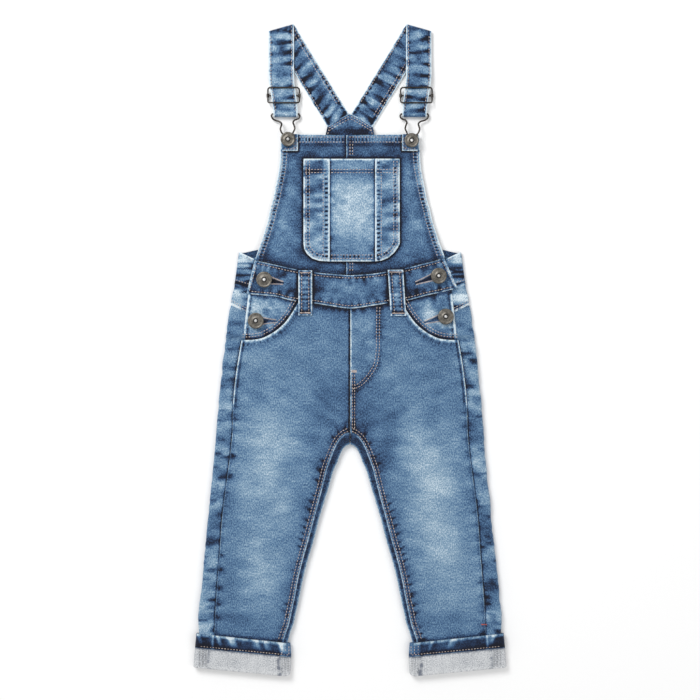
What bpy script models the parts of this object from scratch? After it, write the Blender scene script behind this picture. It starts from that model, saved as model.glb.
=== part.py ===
"""Child's denim dungarees laid flat on their back: front and back leg panels, waistbands, bib,
straps with slides and hooks, turned-up cuffs. +X is the viewer's right, +Y up the garment, +Z up."""

import math

import bmesh
import bpy
import numpy as np

for old in list(bpy.data.objects):
    bpy.data.objects.remove(old, do_unlink=True)

MM = 0.001
GAP = 0.3
CLOTH = 1.4
BAND_CLOTH = 2.0
STRAP_CLOTH = 1.8

# heights of the middle of each cloth wall above the surface, in mm
Z_UNDER = 0.7
Z_FRONT = 5.9
Z_HIP_WRAP = 4.2
Z_FACING = 5.9
POCKET_RISE = 1.7
Z_WAIST = 7.6
Z_BIB = 4.6
Z_BACK_BIB = 0.7
Z_BAND_MID = 7.9
Z_BAND_END = 6.3

# outer fold of the laid-flat trousers: y, distance from the centre line
OUTER = [(-340.0, 163.6), (-318.0, 163.0), (-304.0, 163.1), (-292.0, 163.9), (-270.0, 162.0),
         (-216.0, 156.6), (-162.0, 151.2), (-108.0, 145.8), (-54.0, 141.5), (-21.6, 138.2),
         (10.8, 135.0), (32.4, 131.8), (54.0, 128.0), (75.6, 124.2), (97.0, 121.0), (105.8, 119.9)]
# side seam, where the front leg panel meets the back one
SIDE = [(-340.0, 147.5), (-304.6, 146.4), (-270.0, 144.7), (-221.0, 141.0), (-178.0, 137.8),
        (-142.6, 133.4), (-107.0, 128.7), (-89.6, 127.1), (-60.5, 126.4), (-24.8, 122.8),
        (11.0, 116.9), (16.0, 104.0), (110.0, 104.0)]
# crotch and inside leg: row height at the outer fold, fold x and y, seam x and y
INSIDE = [(-98.0, 0.6, -102.0, 0.6, -89.6), (-101.0, 4.3, -103.7, 4.7, -91.3),
          (-106.0, 7.6, -107.0, 10.3, -96.2), (-113.0, 10.8, -113.4, 15.5, -104.5),
          (-121.0, 13.0, -120.0, 20.0, -115.5), (-130.0, 17.3, -129.6, 24.4, -127.5),
          (-141.0, 20.5, -140.4, 27.3, -139.0), (-162.0, 27.0, -162.0, 33.0, -161.0),
          (-183.0, 33.5, -183.6, 39.0, -183.0), (-205.0, 38.9, -205.0, 44.8, -205.0),
          (-226.0, 45.4, -226.8, 51.0, -227.0), (-247.0, 50.8, -248.4, 56.2, -248.6),
          (-267.0, 55.1, -270.0, 60.3, -270.3), (-281.0, 58.3, -284.0, 63.4, -284.4),
          (-290.0, 61.0, -296.0, 66.0, -296.4), (-297.0, 64.6, -306.0, 69.6, -306.4),
          (-304.0, 67.0, -314.0, 72.0, -314.4), (-313.0, 67.2, -323.0, 72.2, -323.4),
          (-322.0, 67.2, -332.0, 72.2, -332.4)]
# rows of the leg panels above the crotch: height at the outer fold and at the centre
ABOVE = [(36.0, 34.0), (27.0, 26.0), (17.5, 17.5), (11.0, 11.0), (5.0, 5.0), (-5.0, -5.0), (-18.0, -18.0),
         (-32.0, -32.0), (-48.0, -48.0), (-64.0, -64.0), (-80.0, -80.0), (-90.0, -90.5)]
# pocket opening: distance from the centre line, y
POCKET = [(55.3, 52.2), (62.6, 40.0), (68.7, 31.3), (75.9, 24.0), (86.6, 16.7), (95.6, 12.6),
          (105.0, 11.1), (116.6, 10.6)]
# front waistband: station along it, upper edge x and y, lower edge x and y
WAIST = [(-102.7, 96.4, -111.2, 61.1), (-92.0, 94.2, -97.0, 59.7), (-79.0, 91.0, -79.5, 58.0),
         (-58.0, 86.4, -63.3, 53.8), (-37.4, 83.2, -39.2, 50.8), (-20.0, 81.5, -20.5, 47.8),
         (0.0, 80.2, 0.0, 45.1), (20.0, 81.3, 20.5, 47.6), (37.4, 83.6, 39.2, 50.6),
         (58.0, 87.2, 63.3, 54.2), (79.0, 92.6, 83.0, 59.4), (91.0, 95.8, 100.0, 63.0),
         (101.3, 99.1, 115.6, 67.0)]
# bib side edge: y, distance from the centre line
BIB_SIDE = [(97.0, 102.4), (108.0, 98.8), (118.8, 95.0), (129.6, 91.8), (140.0, 88.6), (151.0, 86.4),
            (162.0, 83.2), (172.8, 81.0), (183.6, 78.8), (194.0, 76.7), (205.0, 75.6), (224.6, 74.5),
            (233.0, 74.0)]
# turned-up cuff: y at the outer and inner ends, distance of the outer and inner ends from the centre line
CUFF_TOP = (-305.7, -316.4, 165.9, 64.3)
CUFF_SPLIT = (-320.5, -330.7, 167.4, 63.3)
CUFF_FOOT = (-342.4, -352.4, 169.2, 64.2)
# largest soft ridges of the laid cloth: start x y, end x y, half width, height
FOLDS = [(-112.0, -8.0, -84.0, -22.0, 11.0, 0.8), (-122.0, -52.0, -92.0, -60.0, 12.0, 0.7),
         (32.0, -84.0, 40.0, -134.0, 11.0, 1.0), (-30.0, -92.0, -44.0, -140.0, 12.0, 0.7),
         (-110.0, -190.0, -80.0, -214.0, 14.0, 0.7), (124.0, -206.0, 84.0, -228.0, 14.0, 0.8),
         (-116.0, -262.0, -84.0, -276.0, 13.0, 0.8), (128.0, -270.0, 88.0, -262.0, 13.0, 0.7),
         (108.0, -6.0, 80.0, -26.0, 11.0, 0.8)]

BUTTONS = [("button_waist_L", -92.4, 75.8, 8.6), ("button_waist_R", 95.5, 79.9, 8.6),
           ("button_pocket_L", -101.5, 31.5, 8.6), ("button_pocket_R", 103.1, 36.0, 8.6),
           ("button_bib_L", -66.9, 227.0, 7.8), ("button_bib_R", 66.4, 225.7, 7.8)]
STRAP_X = 74.25
SLIDE_X = 71.7
STRAP_HALF = 13.4


def smooth(t):
    t = min(1.0, max(0.0, t))
    return t * t * (3.0 - 2.0 * t)


def lookup(table, key, column=1):
    keys = np.array([row[0] for row in table])
    vals = np.array([row[column] for row in table])
    order = np.argsort(keys)
    return float(np.interp(key, keys[order], vals[order]))


def along(points, t):
    """Point at the fraction t of a polyline's length."""
    pts = np.array(points, dtype=float)
    steps = np.linalg.norm(np.diff(pts, axis=0), axis=1)
    dist = np.concatenate([[0.0], np.cumsum(steps)]) / steps.sum()
    return np.array([np.interp(t, dist, pts[:, k]) for k in range(pts.shape[1])])


def waist_edge(x, edge):
    """Height of the front waistband's upper (0) or lower (1) edge at x."""
    pts = [(row[2 * edge], row[2 * edge + 1]) for row in WAIST]
    return float(np.interp(x, [p[0] for p in pts], [p[1] for p in pts]))


def cuff_line(x):
    """Height of the cuff's top edge at the distance x from the centre line."""
    y_out, y_in, x_out, x_in = CUFF_TOP
    return y_in + (y_out - y_in) * (x - x_in) / (x_out - x_in)


def lift(x, y):
    """How far the back of the leg is raised by the cuff beneath it."""
    return 2.3 * smooth((cuff_line(abs(x)) + 15.0 - y) / 12.0)


def folds(x, y):
    total = 0.0
    for x0, y0, x1, y1, width, height in FOLDS:
        run = np.array([x1 - x0, y1 - y0])
        t = float(np.dot(np.array([x - x0, y - y0]), run) / np.dot(run, run))
        c = min(1.0, max(0.0, t))
        away = math.hypot(x - x0 - c * run[0], y - y0 - c * run[1])
        total += height * math.exp(-(away / width) ** 2 * 1.6)
    return total


def front_z(x, y):
    return Z_FRONT + POCKET_RISE * smooth((y + 24.0) / 24.0)


def bib_z(y):
    return Z_BIB + (Z_WAIST - Z_BIB) * smooth((150.0 - y) / 50.0)


def band_z(x):
    return Z_BAND_END + (Z_BAND_MID - Z_BAND_END) * smooth((98.0 - abs(x)) / 22.0)


def material(name, colour, metal=0.0, rough=0.85):
    mat = bpy.data.materials.new(name)
    mat.use_nodes = True
    shader = mat.node_tree.nodes["Principled BSDF"]
    shader.inputs["Base Color"].default_value = (*colour, 1.0)
    shader.inputs["Metallic"].default_value = metal
    shader.inputs["Roughness"].default_value = rough
    return mat


def add_object(name, bm, colour, metal=0.0, rough=0.85):
    mesh = bpy.data.meshes.new(name)
    bm.to_mesh(mesh)
    bm.free()
    obj = bpy.data.objects.new(name, mesh)
    bpy.context.scene.collection.objects.link(obj)
    mesh.materials.append(material(name + "_mat", colour, metal, rough))
    return obj


def map_grid(bm, columns, rows, place):
    """Add a grid of quads to bm, its corner (column, row) put at place(column, row) in mm."""
    made = bmesh.ops.create_grid(bm, x_segments=columns, y_segments=rows, size=0.5)
    for v in made["verts"]:
        i = int(round((v.co.x + 0.5) * columns))
        j = int(round((v.co.y + 0.5) * rows))
        v.co = np.array(place(i, j), dtype=float) * MM


def cloth(name, grids, colour, thickness=CLOTH, weld=False):
    """A cloth piece: one or more mapped grids welded together and given the cloth's thickness."""
    bm = bmesh.new()
    for columns, rows, place in grids:
        map_grid(bm, columns, rows, place)
    if weld:
        bmesh.ops.remove_doubles(bm, verts=bm.verts, dist=0.00005)
        bmesh.ops.recalc_face_normals(bm, faces=bm.faces)
    obj = add_object(name, bm, colour)
    mod = obj.modifiers.new("thickness", "SOLIDIFY")
    mod.thickness = thickness * MM
    mod.offset = 0.0
    mod.use_even_offset = True
    return obj


def wrap(outer, seam, z_low, z_high, half, arcs, strips):
    """Section from the seam edge on top, over the outer fold, to the start of the underside."""
    outer = np.array(outer, dtype=float)
    seam = np.array(seam, dtype=float)
    way = (outer - seam) / np.linalg.norm(outer - seam)
    radius = (z_high - z_low) / 2.0
    centre = outer - way * (half + radius)
    points = []
    for k in range(strips):
        p = seam + (centre - seam) * k / strips
        points.append((p[0], p[1], z_high))
    for k in range(arcs + 1):
        a = math.pi * (0.5 - k / arcs)
        p = centre + way * radius * math.cos(a)
        points.append((p[0], p[1], z_low + radius + radius * math.sin(a)))
    return points


ARCS = 6
STRIPS = 2
FLOOR = 6


def side_z(y):
    """Height of the back panel's wrapped strip on top, sinking under the pocket facing."""
    return Z_FRONT + (Z_HIP_WRAP - Z_FRONT) * smooth((y - 3.0) / 8.0)


def leg_rows():
    rows = []
    for y_out, y_mid in ABOVE:
        rows.append({"y": y_out, "mid": y_mid, "fold": None})
    for y_out, fx, fy, sx, sy in INSIDE:
        rows.append({"y": y_out, "mid": fy, "fold": (fx, fy), "seam": (sx, sy)})
    return rows


def back_section(row, top_row):
    """Points of one back leg section in mm, x counted outward from the centre line."""
    y = row["y"]
    y_fold = y + (12.5 if top_row else 0.0)
    outer = (lookup(OUTER, y_fold), y_fold)
    seam = (lookup(SIDE, y), y)
    low = Z_UNDER + lift(outer[0] - 4.0, outer[1])
    points = wrap(outer, seam, low, side_z(y), CLOTH / 2, ARCS, STRIPS)
    start = np.array(points[-1])
    inner = []
    if row["fold"]:
        low_in = Z_UNDER + lift(row["fold"][0] + 4.0, row["fold"][1])
        inner = wrap(row["fold"], row["seam"], low_in, Z_FRONT, CLOTH / 2, ARCS, STRIPS)
        end = np.array(inner[-1])
    else:
        end = np.array((0.6, row["mid"], Z_UNDER))
    for k in range(1, FLOOR + 1):
        p = start + (end - start) * k / FLOOR
        p[2] = Z_UNDER + lift(p[0], p[1])
        if k == FLOOR:
            p = end
        points.append(tuple(p))
    return points, inner[::-1]


def back_leg(side, name):
    rows = leg_rows()
    made = [back_section(row, n == 0) for n, row in enumerate(rows)]
    first = len(ABOVE)

    def body(i, j):
        x, y, z = made[j][0][i]
        return side * x, y, z

    def inside(i, j):
        x, y, z = made[first + j][1][i]
        return side * x, y, z

    grids = [(STRIPS + ARCS + FLOOR, len(rows) - 1, body), (STRIPS + ARCS, len(INSIDE) - 1, inside)]
    return cloth(name, grids, (0.13, 0.24, 0.38), weld=True)


def front_edge_rows():
    """Side point and centre point of each front leg row, with the weight of the waistband's curve."""
    rows = []
    steps = 6
    for k in range(steps):
        t = k / steps
        p = along(POCKET, t)
        rows.append(((p[0] - GAP, p[1] - GAP), (0.85, 44.8 - 35.0 * t), (1.0 - t) ** 2))
    for y_out, y_mid in ABOVE[4:-1]:
        rows.append(((lookup(SIDE, y_out) - GAP, y_out), (0.85, y_mid), 0.0))
    for n, (y_out, fx, fy, sx, sy) in enumerate(INSIDE):
        sx = max(0.85, sx + GAP)
        sy = sy + (GAP if n < 4 else 0.0)
        rows.append(((lookup(SIDE, y_out) - GAP, y_out), (sx, sy), 0.0))
    return rows


def front_leg(side, name):
    rows = front_edge_rows()
    columns = 9

    def place(i, j):
        (x0, y0), (x1, y1), weight = rows[j]
        t = i / columns
        x = x0 + (x1 - x0) * t
        y = y0 + (y1 - y0) * t
        if weight:
            line = waist_edge(side * x0, 1) + (waist_edge(0.0, 1) - waist_edge(side * x0, 1)) * t
            y += weight * (waist_edge(side * x, 1) - line)
        edge = smooth(min(i, columns - i) / 2.0)
        z = front_z(side * x, y) + folds(side * x, y) * edge * (1.0 if j < len(rows) - 4 else 0.0)
        return side * x, y, z

    return cloth(name, [(columns, len(rows) - 1, place)], (0.17, 0.31, 0.47))


def hip_section(y_seam, y_outer, y_low, y_mid, side, halves):
    """Section of a hip piece: wrapped strip, outer fold, underside to the centre line."""
    points = wrap((lookup(OUTER, y_outer), y_outer), (104.0, y_seam), Z_UNDER, Z_HIP_WRAP,
                  CLOTH / 2, ARCS, STRIPS)
    start = np.array(points[-1])
    for k in range(1, halves + 1):
        t = k / halves
        x = start[0] + (0.15 - start[0]) * t
        y = start[1] + (y_low - start[1]) * smooth(min(1.0, t * 5.0)) + (y_mid - y_low) * t
        points.append((x, y, Z_UNDER))
    return [(side * x, y, z) for x, y, z in points]


def hip_yoke(side, name):
    low = hip_section(36.4, 48.9, 48.9, 34.5, side, FLOOR)
    high = hip_section(66.7, 73.1, 71.0, 66.7, side, FLOOR)

    def place(i, j):
        a = np.array(low[i])
        b = np.array(high[i])
        return a + (b - a) * j / 2

    return cloth(name, [(STRIPS + ARCS + FLOOR, 2, place)], (0.15, 0.28, 0.44))


def back_waistband():
    low = []
    high = []
    for side in (-1, 1):
        a = hip_section(67.0, 73.4, 71.3, 67.0, side, FLOOR)
        b = hip_section(98.2, 105.8, 109.5, 112.0, side, FLOOR)
        if side < 0:
            low = a[:-1] + [(0.0, 67.0, Z_UNDER)]
            high = b[:-1] + [(0.0, 112.0, Z_UNDER)]
        else:
            low = low + a[:-1][::-1]
            high = high + b[:-1][::-1]

    def place(i, j):
        a = np.array(low[i])
        b = np.array(high[i])
        return a + (b - a) * j / 3

    return cloth("back_waistband", [(len(low) - 1, 3, place)], (0.10, 0.18, 0.30))


def back_bib():
    def place(i, j):
        u = i / 8 * 2 - 1
        v = j / 6
        half = 93.0 + (25.5 - 93.0) * v
        low = lookup([(0.0, 112.3), (30.0, 111.8), (60.0, 111.0), (100.0, 109.8)], abs(u) * half)
        return u * half, low + 0.5 + (251.2 - 17.0 * abs(u) - low) * v, Z_BACK_BIB

    return cloth("back_bib", [(8, 6, place)], (0.11, 0.20, 0.33))


def strap_yoke():
    """Roof-shaped facing over the strap ends, its point at the top centre."""
    def place(i, j):
        u = i / 8 * 2 - 1
        v = j / 4
        x_top = 24.5 * u
        y_top = 255.0 - 14.0 * abs(u) ** 1.15
        x_low = 29.0 * u
        y_low = 221.0
        return x_top + (x_low - x_top) * v, y_top + (y_low - y_top) * v, 2.9

    return cloth("strap_yoke", [(8, 4, place)], (0.07, 0.12, 0.20))


def waistband():
    columns = 24

    def place(i, j):
        t = i / columns
        pts = along([(a, b, c, d) for a, b, c, d in WAIST], t)
        v = j / 3
        x = pts[2] + (pts[0] - pts[2]) * v
        y = pts[3] + (pts[1] - pts[3]) * v
        return x, y, band_z(x)

    return cloth("front_waistband", [(columns, 3, place)], (0.15, 0.27, 0.42), BAND_CLOTH)


def facing(side, name):
    top = [(109.4, 58.9), (96.0, 58.9), (80.0, 57.5), (63.3, 53.0), (50.0, 51.3)]
    foot = [(113.2, 3.0), (95.0, 4.0), (84.0, 9.0), (70.0, 17.0), (60.0, 28.0), (50.0, 42.0)]
    left = [(109.4, 58.9), (112.9, 31.0), (114.3, 14.0), (113.2, 3.0)]
    columns = 8
    rows = 6

    def place(i, j):
        u = i / columns
        v = j / rows
        a = along(top, u)
        b = along(foot, u)
        x = a[0] + (b[0] - a[0]) * v
        y = waist_edge(side * a[0], 1) - GAP + (b[1] - waist_edge(side * a[0], 1) + GAP) * v
        bulge = along(left, v)[0] - (109.4 + (113.2 - 109.4) * v)
        return side * (x + bulge * (1.0 - u)), y, Z_FACING

    return cloth(name, [(columns, rows, place)], (0.19, 0.33, 0.48))


def bib(side, name):
    columns = 12
    rows = 12
    centre = -3.95 if side < 0 else -3.65

    def place(i, j):
        t = i / columns
        v = j / rows
        y0 = 97.4 + (232.7 - 97.4) * v
        x0 = side * lookup(BIB_SIDE, y0)
        x = x0 + (centre - x0) * t
        y = y0 + (80.5 + (231.6 - 80.5) * v - y0) * t
        line = 97.4 + (80.5 - 97.4) * t
        y += (waist_edge(x, 0) + 2 * GAP - line) * (1.0 - v) ** 3
        return x, y, bib_z(y)

    return cloth(name, [(columns, rows, place)], (0.12, 0.23, 0.37))


def bib_tab(side, name):
    def place(i, j):
        x = 56.4 + (73.0 - 56.4) * i / 2
        y = 215.0 + 17.6 * j / 2
        return side * x, y, bib_z(y) + CLOTH + GAP

    return cloth(name, [(2, 2, place)], (0.13, 0.24, 0.37))


def pocket_foot(x):
    """Lower edge of the bib pocket: rounded left corner, cut right corner."""
    left = [(-50.0, 114.5), (-49.2, 109.0), (-46.0, 103.5), (-40.5, 98.8), (-33.0, 96.3), (-22.0, 95.6)]
    right = [(26.0, 95.6), (34.0, 96.6), (41.0, 99.6), (47.5, 105.0), (52.0, 111.5), (53.5, 115.0)]
    pts = left + right
    return float(np.interp(x, [p[0] for p in pts], [p[1] for p in pts]))


def bib_pocket():
    spans = [("bib_pocket_strip_L", -50.0, -22.2, 1.8), ("bib_pocket_centre", -21.9, 27.1, CLOTH),
             ("bib_pocket_strip_R", 27.4, 53.5, 1.8)]
    for name, x0, x1, wall in spans:
        columns = 6

        def place(i, j, x0=x0, x1=x1, wall=wall):
            x = x0 + (x1 - x0) * i / 6
            low = pocket_foot(x)
            y = low + (205.9 - low) * j / 8
            return x, y, bib_z(y) + CLOTH / 2 + GAP + wall / 2

        cloth(name, [(columns, 8, place)], (0.30, 0.44, 0.57), wall)


def belt_loop(side, name, top, foot, half):
    def place(i, j):
        v = j / 8
        x = foot[0] + (top[0] - foot[0]) * v + half * (i - 1)
        y = foot[1] + (top[1] - foot[1]) * v
        arch = smooth(v / 0.22) * smooth((1.0 - v) / 0.08)
        rest = 9.4 + (0.0 if v < 0.5 else 0.6 * v)
        return x, y, rest + 0.75 * arch

    return cloth(name, [(2, 8, place)], (0.14, 0.26, 0.41))


def ring(outer, inner, z_low, z_high, half, arcs=6, floor=6):
    """Closed section through a flattened tube, from the inner end over the top and back beneath."""
    radius = (z_high - z_low) / 2.0
    outer = np.array(outer, dtype=float)
    inner = np.array(inner, dtype=float)
    way = (outer - inner) / np.linalg.norm(outer - inner)
    c_out = outer - way * (half + radius)
    c_in = inner + way * (half + radius)
    mid = (z_low + z_high) / 2.0
    points = []
    for k in range(floor):
        p = c_in + (c_out - c_in) * k / floor
        points.append((p[0], p[1], z_high))
    for k in range(arcs):
        a = math.pi * (0.5 - k / arcs)
        p = c_out + way * radius * math.cos(a)
        points.append((p[0], p[1], mid + radius * math.sin(a)))
    for k in range(floor):
        p = c_out + (c_in - c_out) * k / floor
        points.append((p[0], p[1], z_low))
    for k in range(arcs):
        a = math.pi * (0.5 - k / arcs)
        p = c_in - way * radius * math.cos(a)
        points.append((p[0], p[1], mid - radius * math.sin(a)))
    return points + [points[0]]


def cuff_ends(t, inset, drop=0.0):
    """Outer and inner end of the cuff at the fraction t between its split and its foot."""
    a = np.array(CUFF_SPLIT)
    b = np.array(CUFF_FOOT)
    c = a + (b - a) * t
    return (c[2] - inset, c[0] - drop), (c[3] + inset, c[1] - drop)


def cuff(side, name):
    sections = []
    for t in (0.0, 0.33, 0.66, 0.93):
        outer, inner = cuff_ends(t, 0.0, GAP * (1.0 - t))
        sections.append(ring(outer, inner, 0.7, 7.6, 0.7))
    for turn in (0.25, 0.5, 0.75, 1.0):
        inset = 0.85 * (1.0 - math.cos(math.pi * turn))
        outer, inner = cuff_ends(0.93, inset, 0.85 * math.sin(math.pi * turn))
        sections.append(ring(outer, inner, 0.7 + inset, 7.6 - inset, 0.7))
    for t in (0.6, 0.12):
        outer, inner = cuff_ends(t, 1.7)
        sections.append(ring(outer, inner, 2.4, 5.9, 0.7))

    def place(i, j):
        x, y, z = sections[j][i]
        return side * x, y, z

    return cloth(name, [(24, len(sections) - 1, place)], (0.58, 0.59, 0.60), weld=True)


def cuff_band(side, name):
    sections = []
    for t in (0.0, 0.5, 1.0):
        a = np.array(CUFF_TOP)
        c = a + (np.array(CUFF_SPLIT) - a) * t
        sections.append(ring((c[2], c[0]), (c[3], c[1]), 1.0, 7.9, 1.0))

    def place(i, j):
        x, y, z = sections[j][i]
        return side * x, y, z

    return cloth(name, [(24, 2, place)], (0.04, 0.07, 0.13), BAND_CLOTH, weld=True)


# strap: fold line at the shoulder and the ribbon's run, for the left strap, mirrored for the right
FOLD_A = np.array([-85.9, 343.0])
FOLD_B = np.array([-58.3, 350.8])
FOLD_WAY = (FOLD_B - FOLD_A) / np.linalg.norm(FOLD_B - FOLD_A)
FOLD_OUT = np.array([-FOLD_WAY[1], FOLD_WAY[0]])
FOLD_R = 1.3
LOOP_R = 2.1
LOOP_Y = 254.6
TAIL_Y = 289.0


def strap_point(a, length):
    """Place of the flat strap's point at a across it and length up from its lower fold, in mm."""
    turn = math.pi * LOOP_R
    up = max(length, -length - turn)
    pull = smooth((44.0 - up) / 44.0)
    x = -STRAP_X + a * (1.0 - 0.04 * pull) + 4.65 * pull
    if length < -turn:
        return x, LOOP_Y + (-length - turn), 0.9
    if length < 0.0:
        angle = -length / LOOP_R
        return x, LOOP_Y - LOOP_R * math.sin(angle), 0.9 + LOOP_R + LOOP_R * math.cos(angle)
    flat = np.array([x, LOOP_Y + length])
    high = 5.1 - 1.6 * smooth((length - 36.0) / 30.0)
    past = float(np.dot(flat - FOLD_A, FOLD_OUT))
    foot = flat - FOLD_OUT * past
    if past <= 0.0:
        return flat[0], flat[1], high
    bend = math.pi * FOLD_R
    if past < bend:
        angle = past / FOLD_R
        p = foot + FOLD_OUT * FOLD_R * math.sin(angle)
        return p[0], p[1], 0.9 + FOLD_R + FOLD_R * math.cos(angle)
    p = foot - FOLD_OUT * (past - bend)
    return p[0], p[1], 0.9


def strap_rows():
    """Length at the left and right edge of each row of the strap's grid."""
    rows = []
    turn = math.pi * LOOP_R
    for t in (0.0, 0.5):
        tail = -turn - (TAIL_Y - LOOP_Y) * (1.0 - t)
        rows.append((tail, tail))
    for k in range(7):
        rows.append((-turn * (1.0 - k / 6),) * 2)
    for length in (12.0, 28.0, 42.0, 56.0, 68.0):
        rows.append((length, length))
    left = float((FOLD_A[1] - LOOP_Y)) + (-STRAP_HALF - STRAP_X - FOLD_A[0]) * FOLD_WAY[1] / FOLD_WAY[0]
    right = left + 2 * STRAP_HALF * FOLD_WAY[1] / FOLD_WAY[0]
    stretch = 1.0 / FOLD_WAY[0]
    rows.append((left - 7.0, right - 7.0))
    for k in range(7):
        extra = math.pi * FOLD_R * k / 6 * stretch
        rows.append((left + extra, right + extra))
    base = math.pi * FOLD_R * stretch
    for reach_l, reach_r in ((16.0, 13.0), (36.0, 31.0), (56.0, 50.0), (76.0, 69.0), (98.0, 90.0),
                             (121.0, 111.0)):
        rows.append((left + base + reach_l, right + base + reach_r))
    return rows


def strap(side, name):
    rows = strap_rows()

    def place(i, j):
        a = STRAP_HALF * (i / 2 - 1.0)
        length = rows[j][0] + (rows[j][1] - rows[j][0]) * i / 4
        x, y, z = strap_point(a, length)
        return -side * x, y, z

    return cloth(name, [(4, len(rows) - 1, place)], (0.22, 0.37, 0.52), STRAP_CLOTH)


def wire(name, points, radius, colour, closed=True, sides=2):
    """Round wire bent along the points, given in mm."""
    curve = bpy.data.curves.new(name, "CURVE")
    curve.dimensions = "3D"
    curve.bevel_depth = radius * MM
    curve.bevel_resolution = sides
    curve.use_fill_caps = True
    spline = curve.splines.new("POLY")
    spline.points.add(len(points) - 1)
    for n, (x, y, z) in enumerate(points):
        spline.points[n].co = (x * MM, y * MM, z * MM, 1.0)
    spline.use_cyclic_u = closed
    obj = bpy.data.objects.new(name, curve)
    bpy.context.scene.collection.objects.link(obj)
    curve.materials.append(material(name + "_mat", colour, 1.0, 0.35))
    return obj


PEWTER = (0.20, 0.18, 0.16)


def slide(side, name):
    """Strap slide: a bent wire frame crossing over the strap, with a middle bar beneath it."""
    quarter = [(13.2, 283.0, 7.3), (15.0, 282.9, 7.0), (16.2, 282.3, 5.6), (16.9, 281.2, 3.9),
               (17.0, 279.6, 3.0)]
    centre_y = 274.8
    top = [(x, y, z) for x, y, z in quarter]
    foot = [(x, 2 * centre_y - y, z) for x, y, z in quarter[::-1]]
    right = top + [(17.0, 275.0, 3.0)] + foot
    left = [(-x, y, z) for x, y, z in right[::-1]]
    frame = wire(name, [(side * SLIDE_X + x, y, z) for x, y, z in right + left], 0.8, PEWTER)
    bar = wire(name + "_bar", [(side * SLIDE_X - 18.4, centre_y, 3.0), (side * SLIDE_X + 18.4, centre_y, 3.0)],
               0.9, PEWTER, closed=False)
    bpy.context.view_layer.update()
    solid = bpy.data.meshes.new_from_object(frame.evaluated_get(bpy.context.evaluated_depsgraph_get()))
    rod = bpy.data.meshes.new_from_object(bar.evaluated_get(bpy.context.evaluated_depsgraph_get()))
    bpy.data.objects.remove(frame, do_unlink=True)
    bpy.data.objects.remove(bar, do_unlink=True)
    obj = bpy.data.objects.new(name, solid)
    cutter = bpy.data.objects.new(name + "_rod", rod)
    for item in (obj, cutter):
        bpy.context.scene.collection.objects.link(item)
    cutter.hide_render = True
    cutter.display_type = "WIRE"
    mod = obj.modifiers.new("joined", "BOOLEAN")
    mod.operation = "UNION"
    mod.solver = "EXACT"
    mod.object = cutter
    return obj


# hook wire of the left strap from its crossbar down each side: x, y, height
HOOK_LEFT = [(-83.9, 255.0, 3.0), (-84.8, 253.6, 3.0), (-84.4, 251.6, 3.0), (-82.8, 249.4, 3.1),
             (-80.4, 248.1, 3.2), (-76.4, 246.8, 3.8), (-73.8, 244.2, 5.4), (-74.4, 241.0, 7.2),
             (-75.0, 238.0, 8.4), (-73.8, 234.4, 8.6)]
HOOK_RIGHT = [(-61.2, 234.4, 8.6), (-59.5, 238.4, 8.4), (-60.4, 242.4, 6.8), (-61.4, 245.8, 4.8),
              (-60.0, 248.2, 3.8), (-57.4, 249.2, 3.2), (-54.8, 251.0, 3.0), (-54.3, 253.2, 3.0),
              (-55.3, 255.0, 3.0)]


def hook(side, name, button_x, button_y):
    """Wire hook: crossbar in the strap's lower fold, shoulders, neck and a loop round the shank."""
    loop = []
    for k in range(11):
        a = math.radians(140.0 + 260.0 * k / 10)
        loop.append((-abs(button_x) + 6.0 * math.cos(a), button_y + 6.0 * math.sin(a), 8.45))
    points = HOOK_LEFT + loop + HOOK_RIGHT
    return wire(name, [(-side * x, y, z) for x, y, z in points], 0.9, PEWTER)


def button(name, x, y, radius, base):
    """Turned metal button: shank, flat head with rolled rim, raised ring and a hollow centre."""
    profile = [(0.0, 0.0), (3.6, 0.0), (3.6, 2.2), (radius - 1.2, 2.2), (radius, 2.9), (radius, 3.5),
               (radius - 0.9, 4.1), (radius - 2.0, 4.0), (3.4, 4.2), (2.4, 4.5), (1.7, 4.3), (1.3, 3.4),
               (0.0, 3.3)]
    bm = bmesh.new()
    verts = [bm.verts.new((r * MM, 0.0, z * MM)) for r, z in profile]
    edges = [bm.edges.new((verts[k], verts[k + 1])) for k in range(len(verts) - 1)]
    bmesh.ops.spin(bm, geom=verts + edges, cent=(0, 0, 0), axis=(0, 0, 1), angle=2 * math.pi, steps=20,
                   use_merge=True, use_duplicate=False)
    bmesh.ops.remove_doubles(bm, verts=bm.verts, dist=0.00001)
    bmesh.ops.recalc_face_normals(bm, faces=bm.faces)
    bmesh.ops.translate(bm, verts=bm.verts, vec=(x * MM, y * MM, base * MM))
    obj = add_object(name, bm, PEWTER, 1.0, 0.4)
    for poly in obj.data.polygons:
        poly.use_smooth = True
    obj.data.set_sharp_from_angle(angle=math.radians(35.0))
    return obj


for letter, way in (("L", -1), ("R", 1)):
    back_leg(way, "back_leg_" + letter)
    front_leg(way, "front_leg_" + letter)
    hip_yoke(way, "hip_yoke_" + letter)
    facing(way, "pocket_facing_" + letter)
    bib(way, "bib_" + letter)
    bib_tab(way, "bib_tab_" + letter)
    cuff(way, "cuff_" + letter)
    cuff_band(way, "cuff_band_" + letter)
    strap(way, "strap_" + letter)
    slide(way, "slide_" + letter)
back_waistband()
back_bib()
strap_yoke()
waistband()
bib_pocket()
belt_loop(-1, "belt_loop_L", (-48.15, 85.6), (-48.15, 37.4), 7.1)
belt_loop(1, "belt_loop_R", (48.9, 86.2), (52.2, 36.9), 8.2)
hook(-1, "hook_L", -66.9, 227.0)
hook(1, "hook_R", 66.4, 225.7)
for label, bx, by, br in BUTTONS:
    if "bib" in label:
        rest = Z_BIB + CLOTH / 2 + 2 * GAP + CLOTH
    elif "waist" in label:
        rest = band_z(abs(bx) - 4.5) + BAND_CLOTH / 2 + GAP
    else:
        rest = Z_FACING + CLOTH / 2 + GAP
    button(label, bx, by, br, rest)
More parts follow.
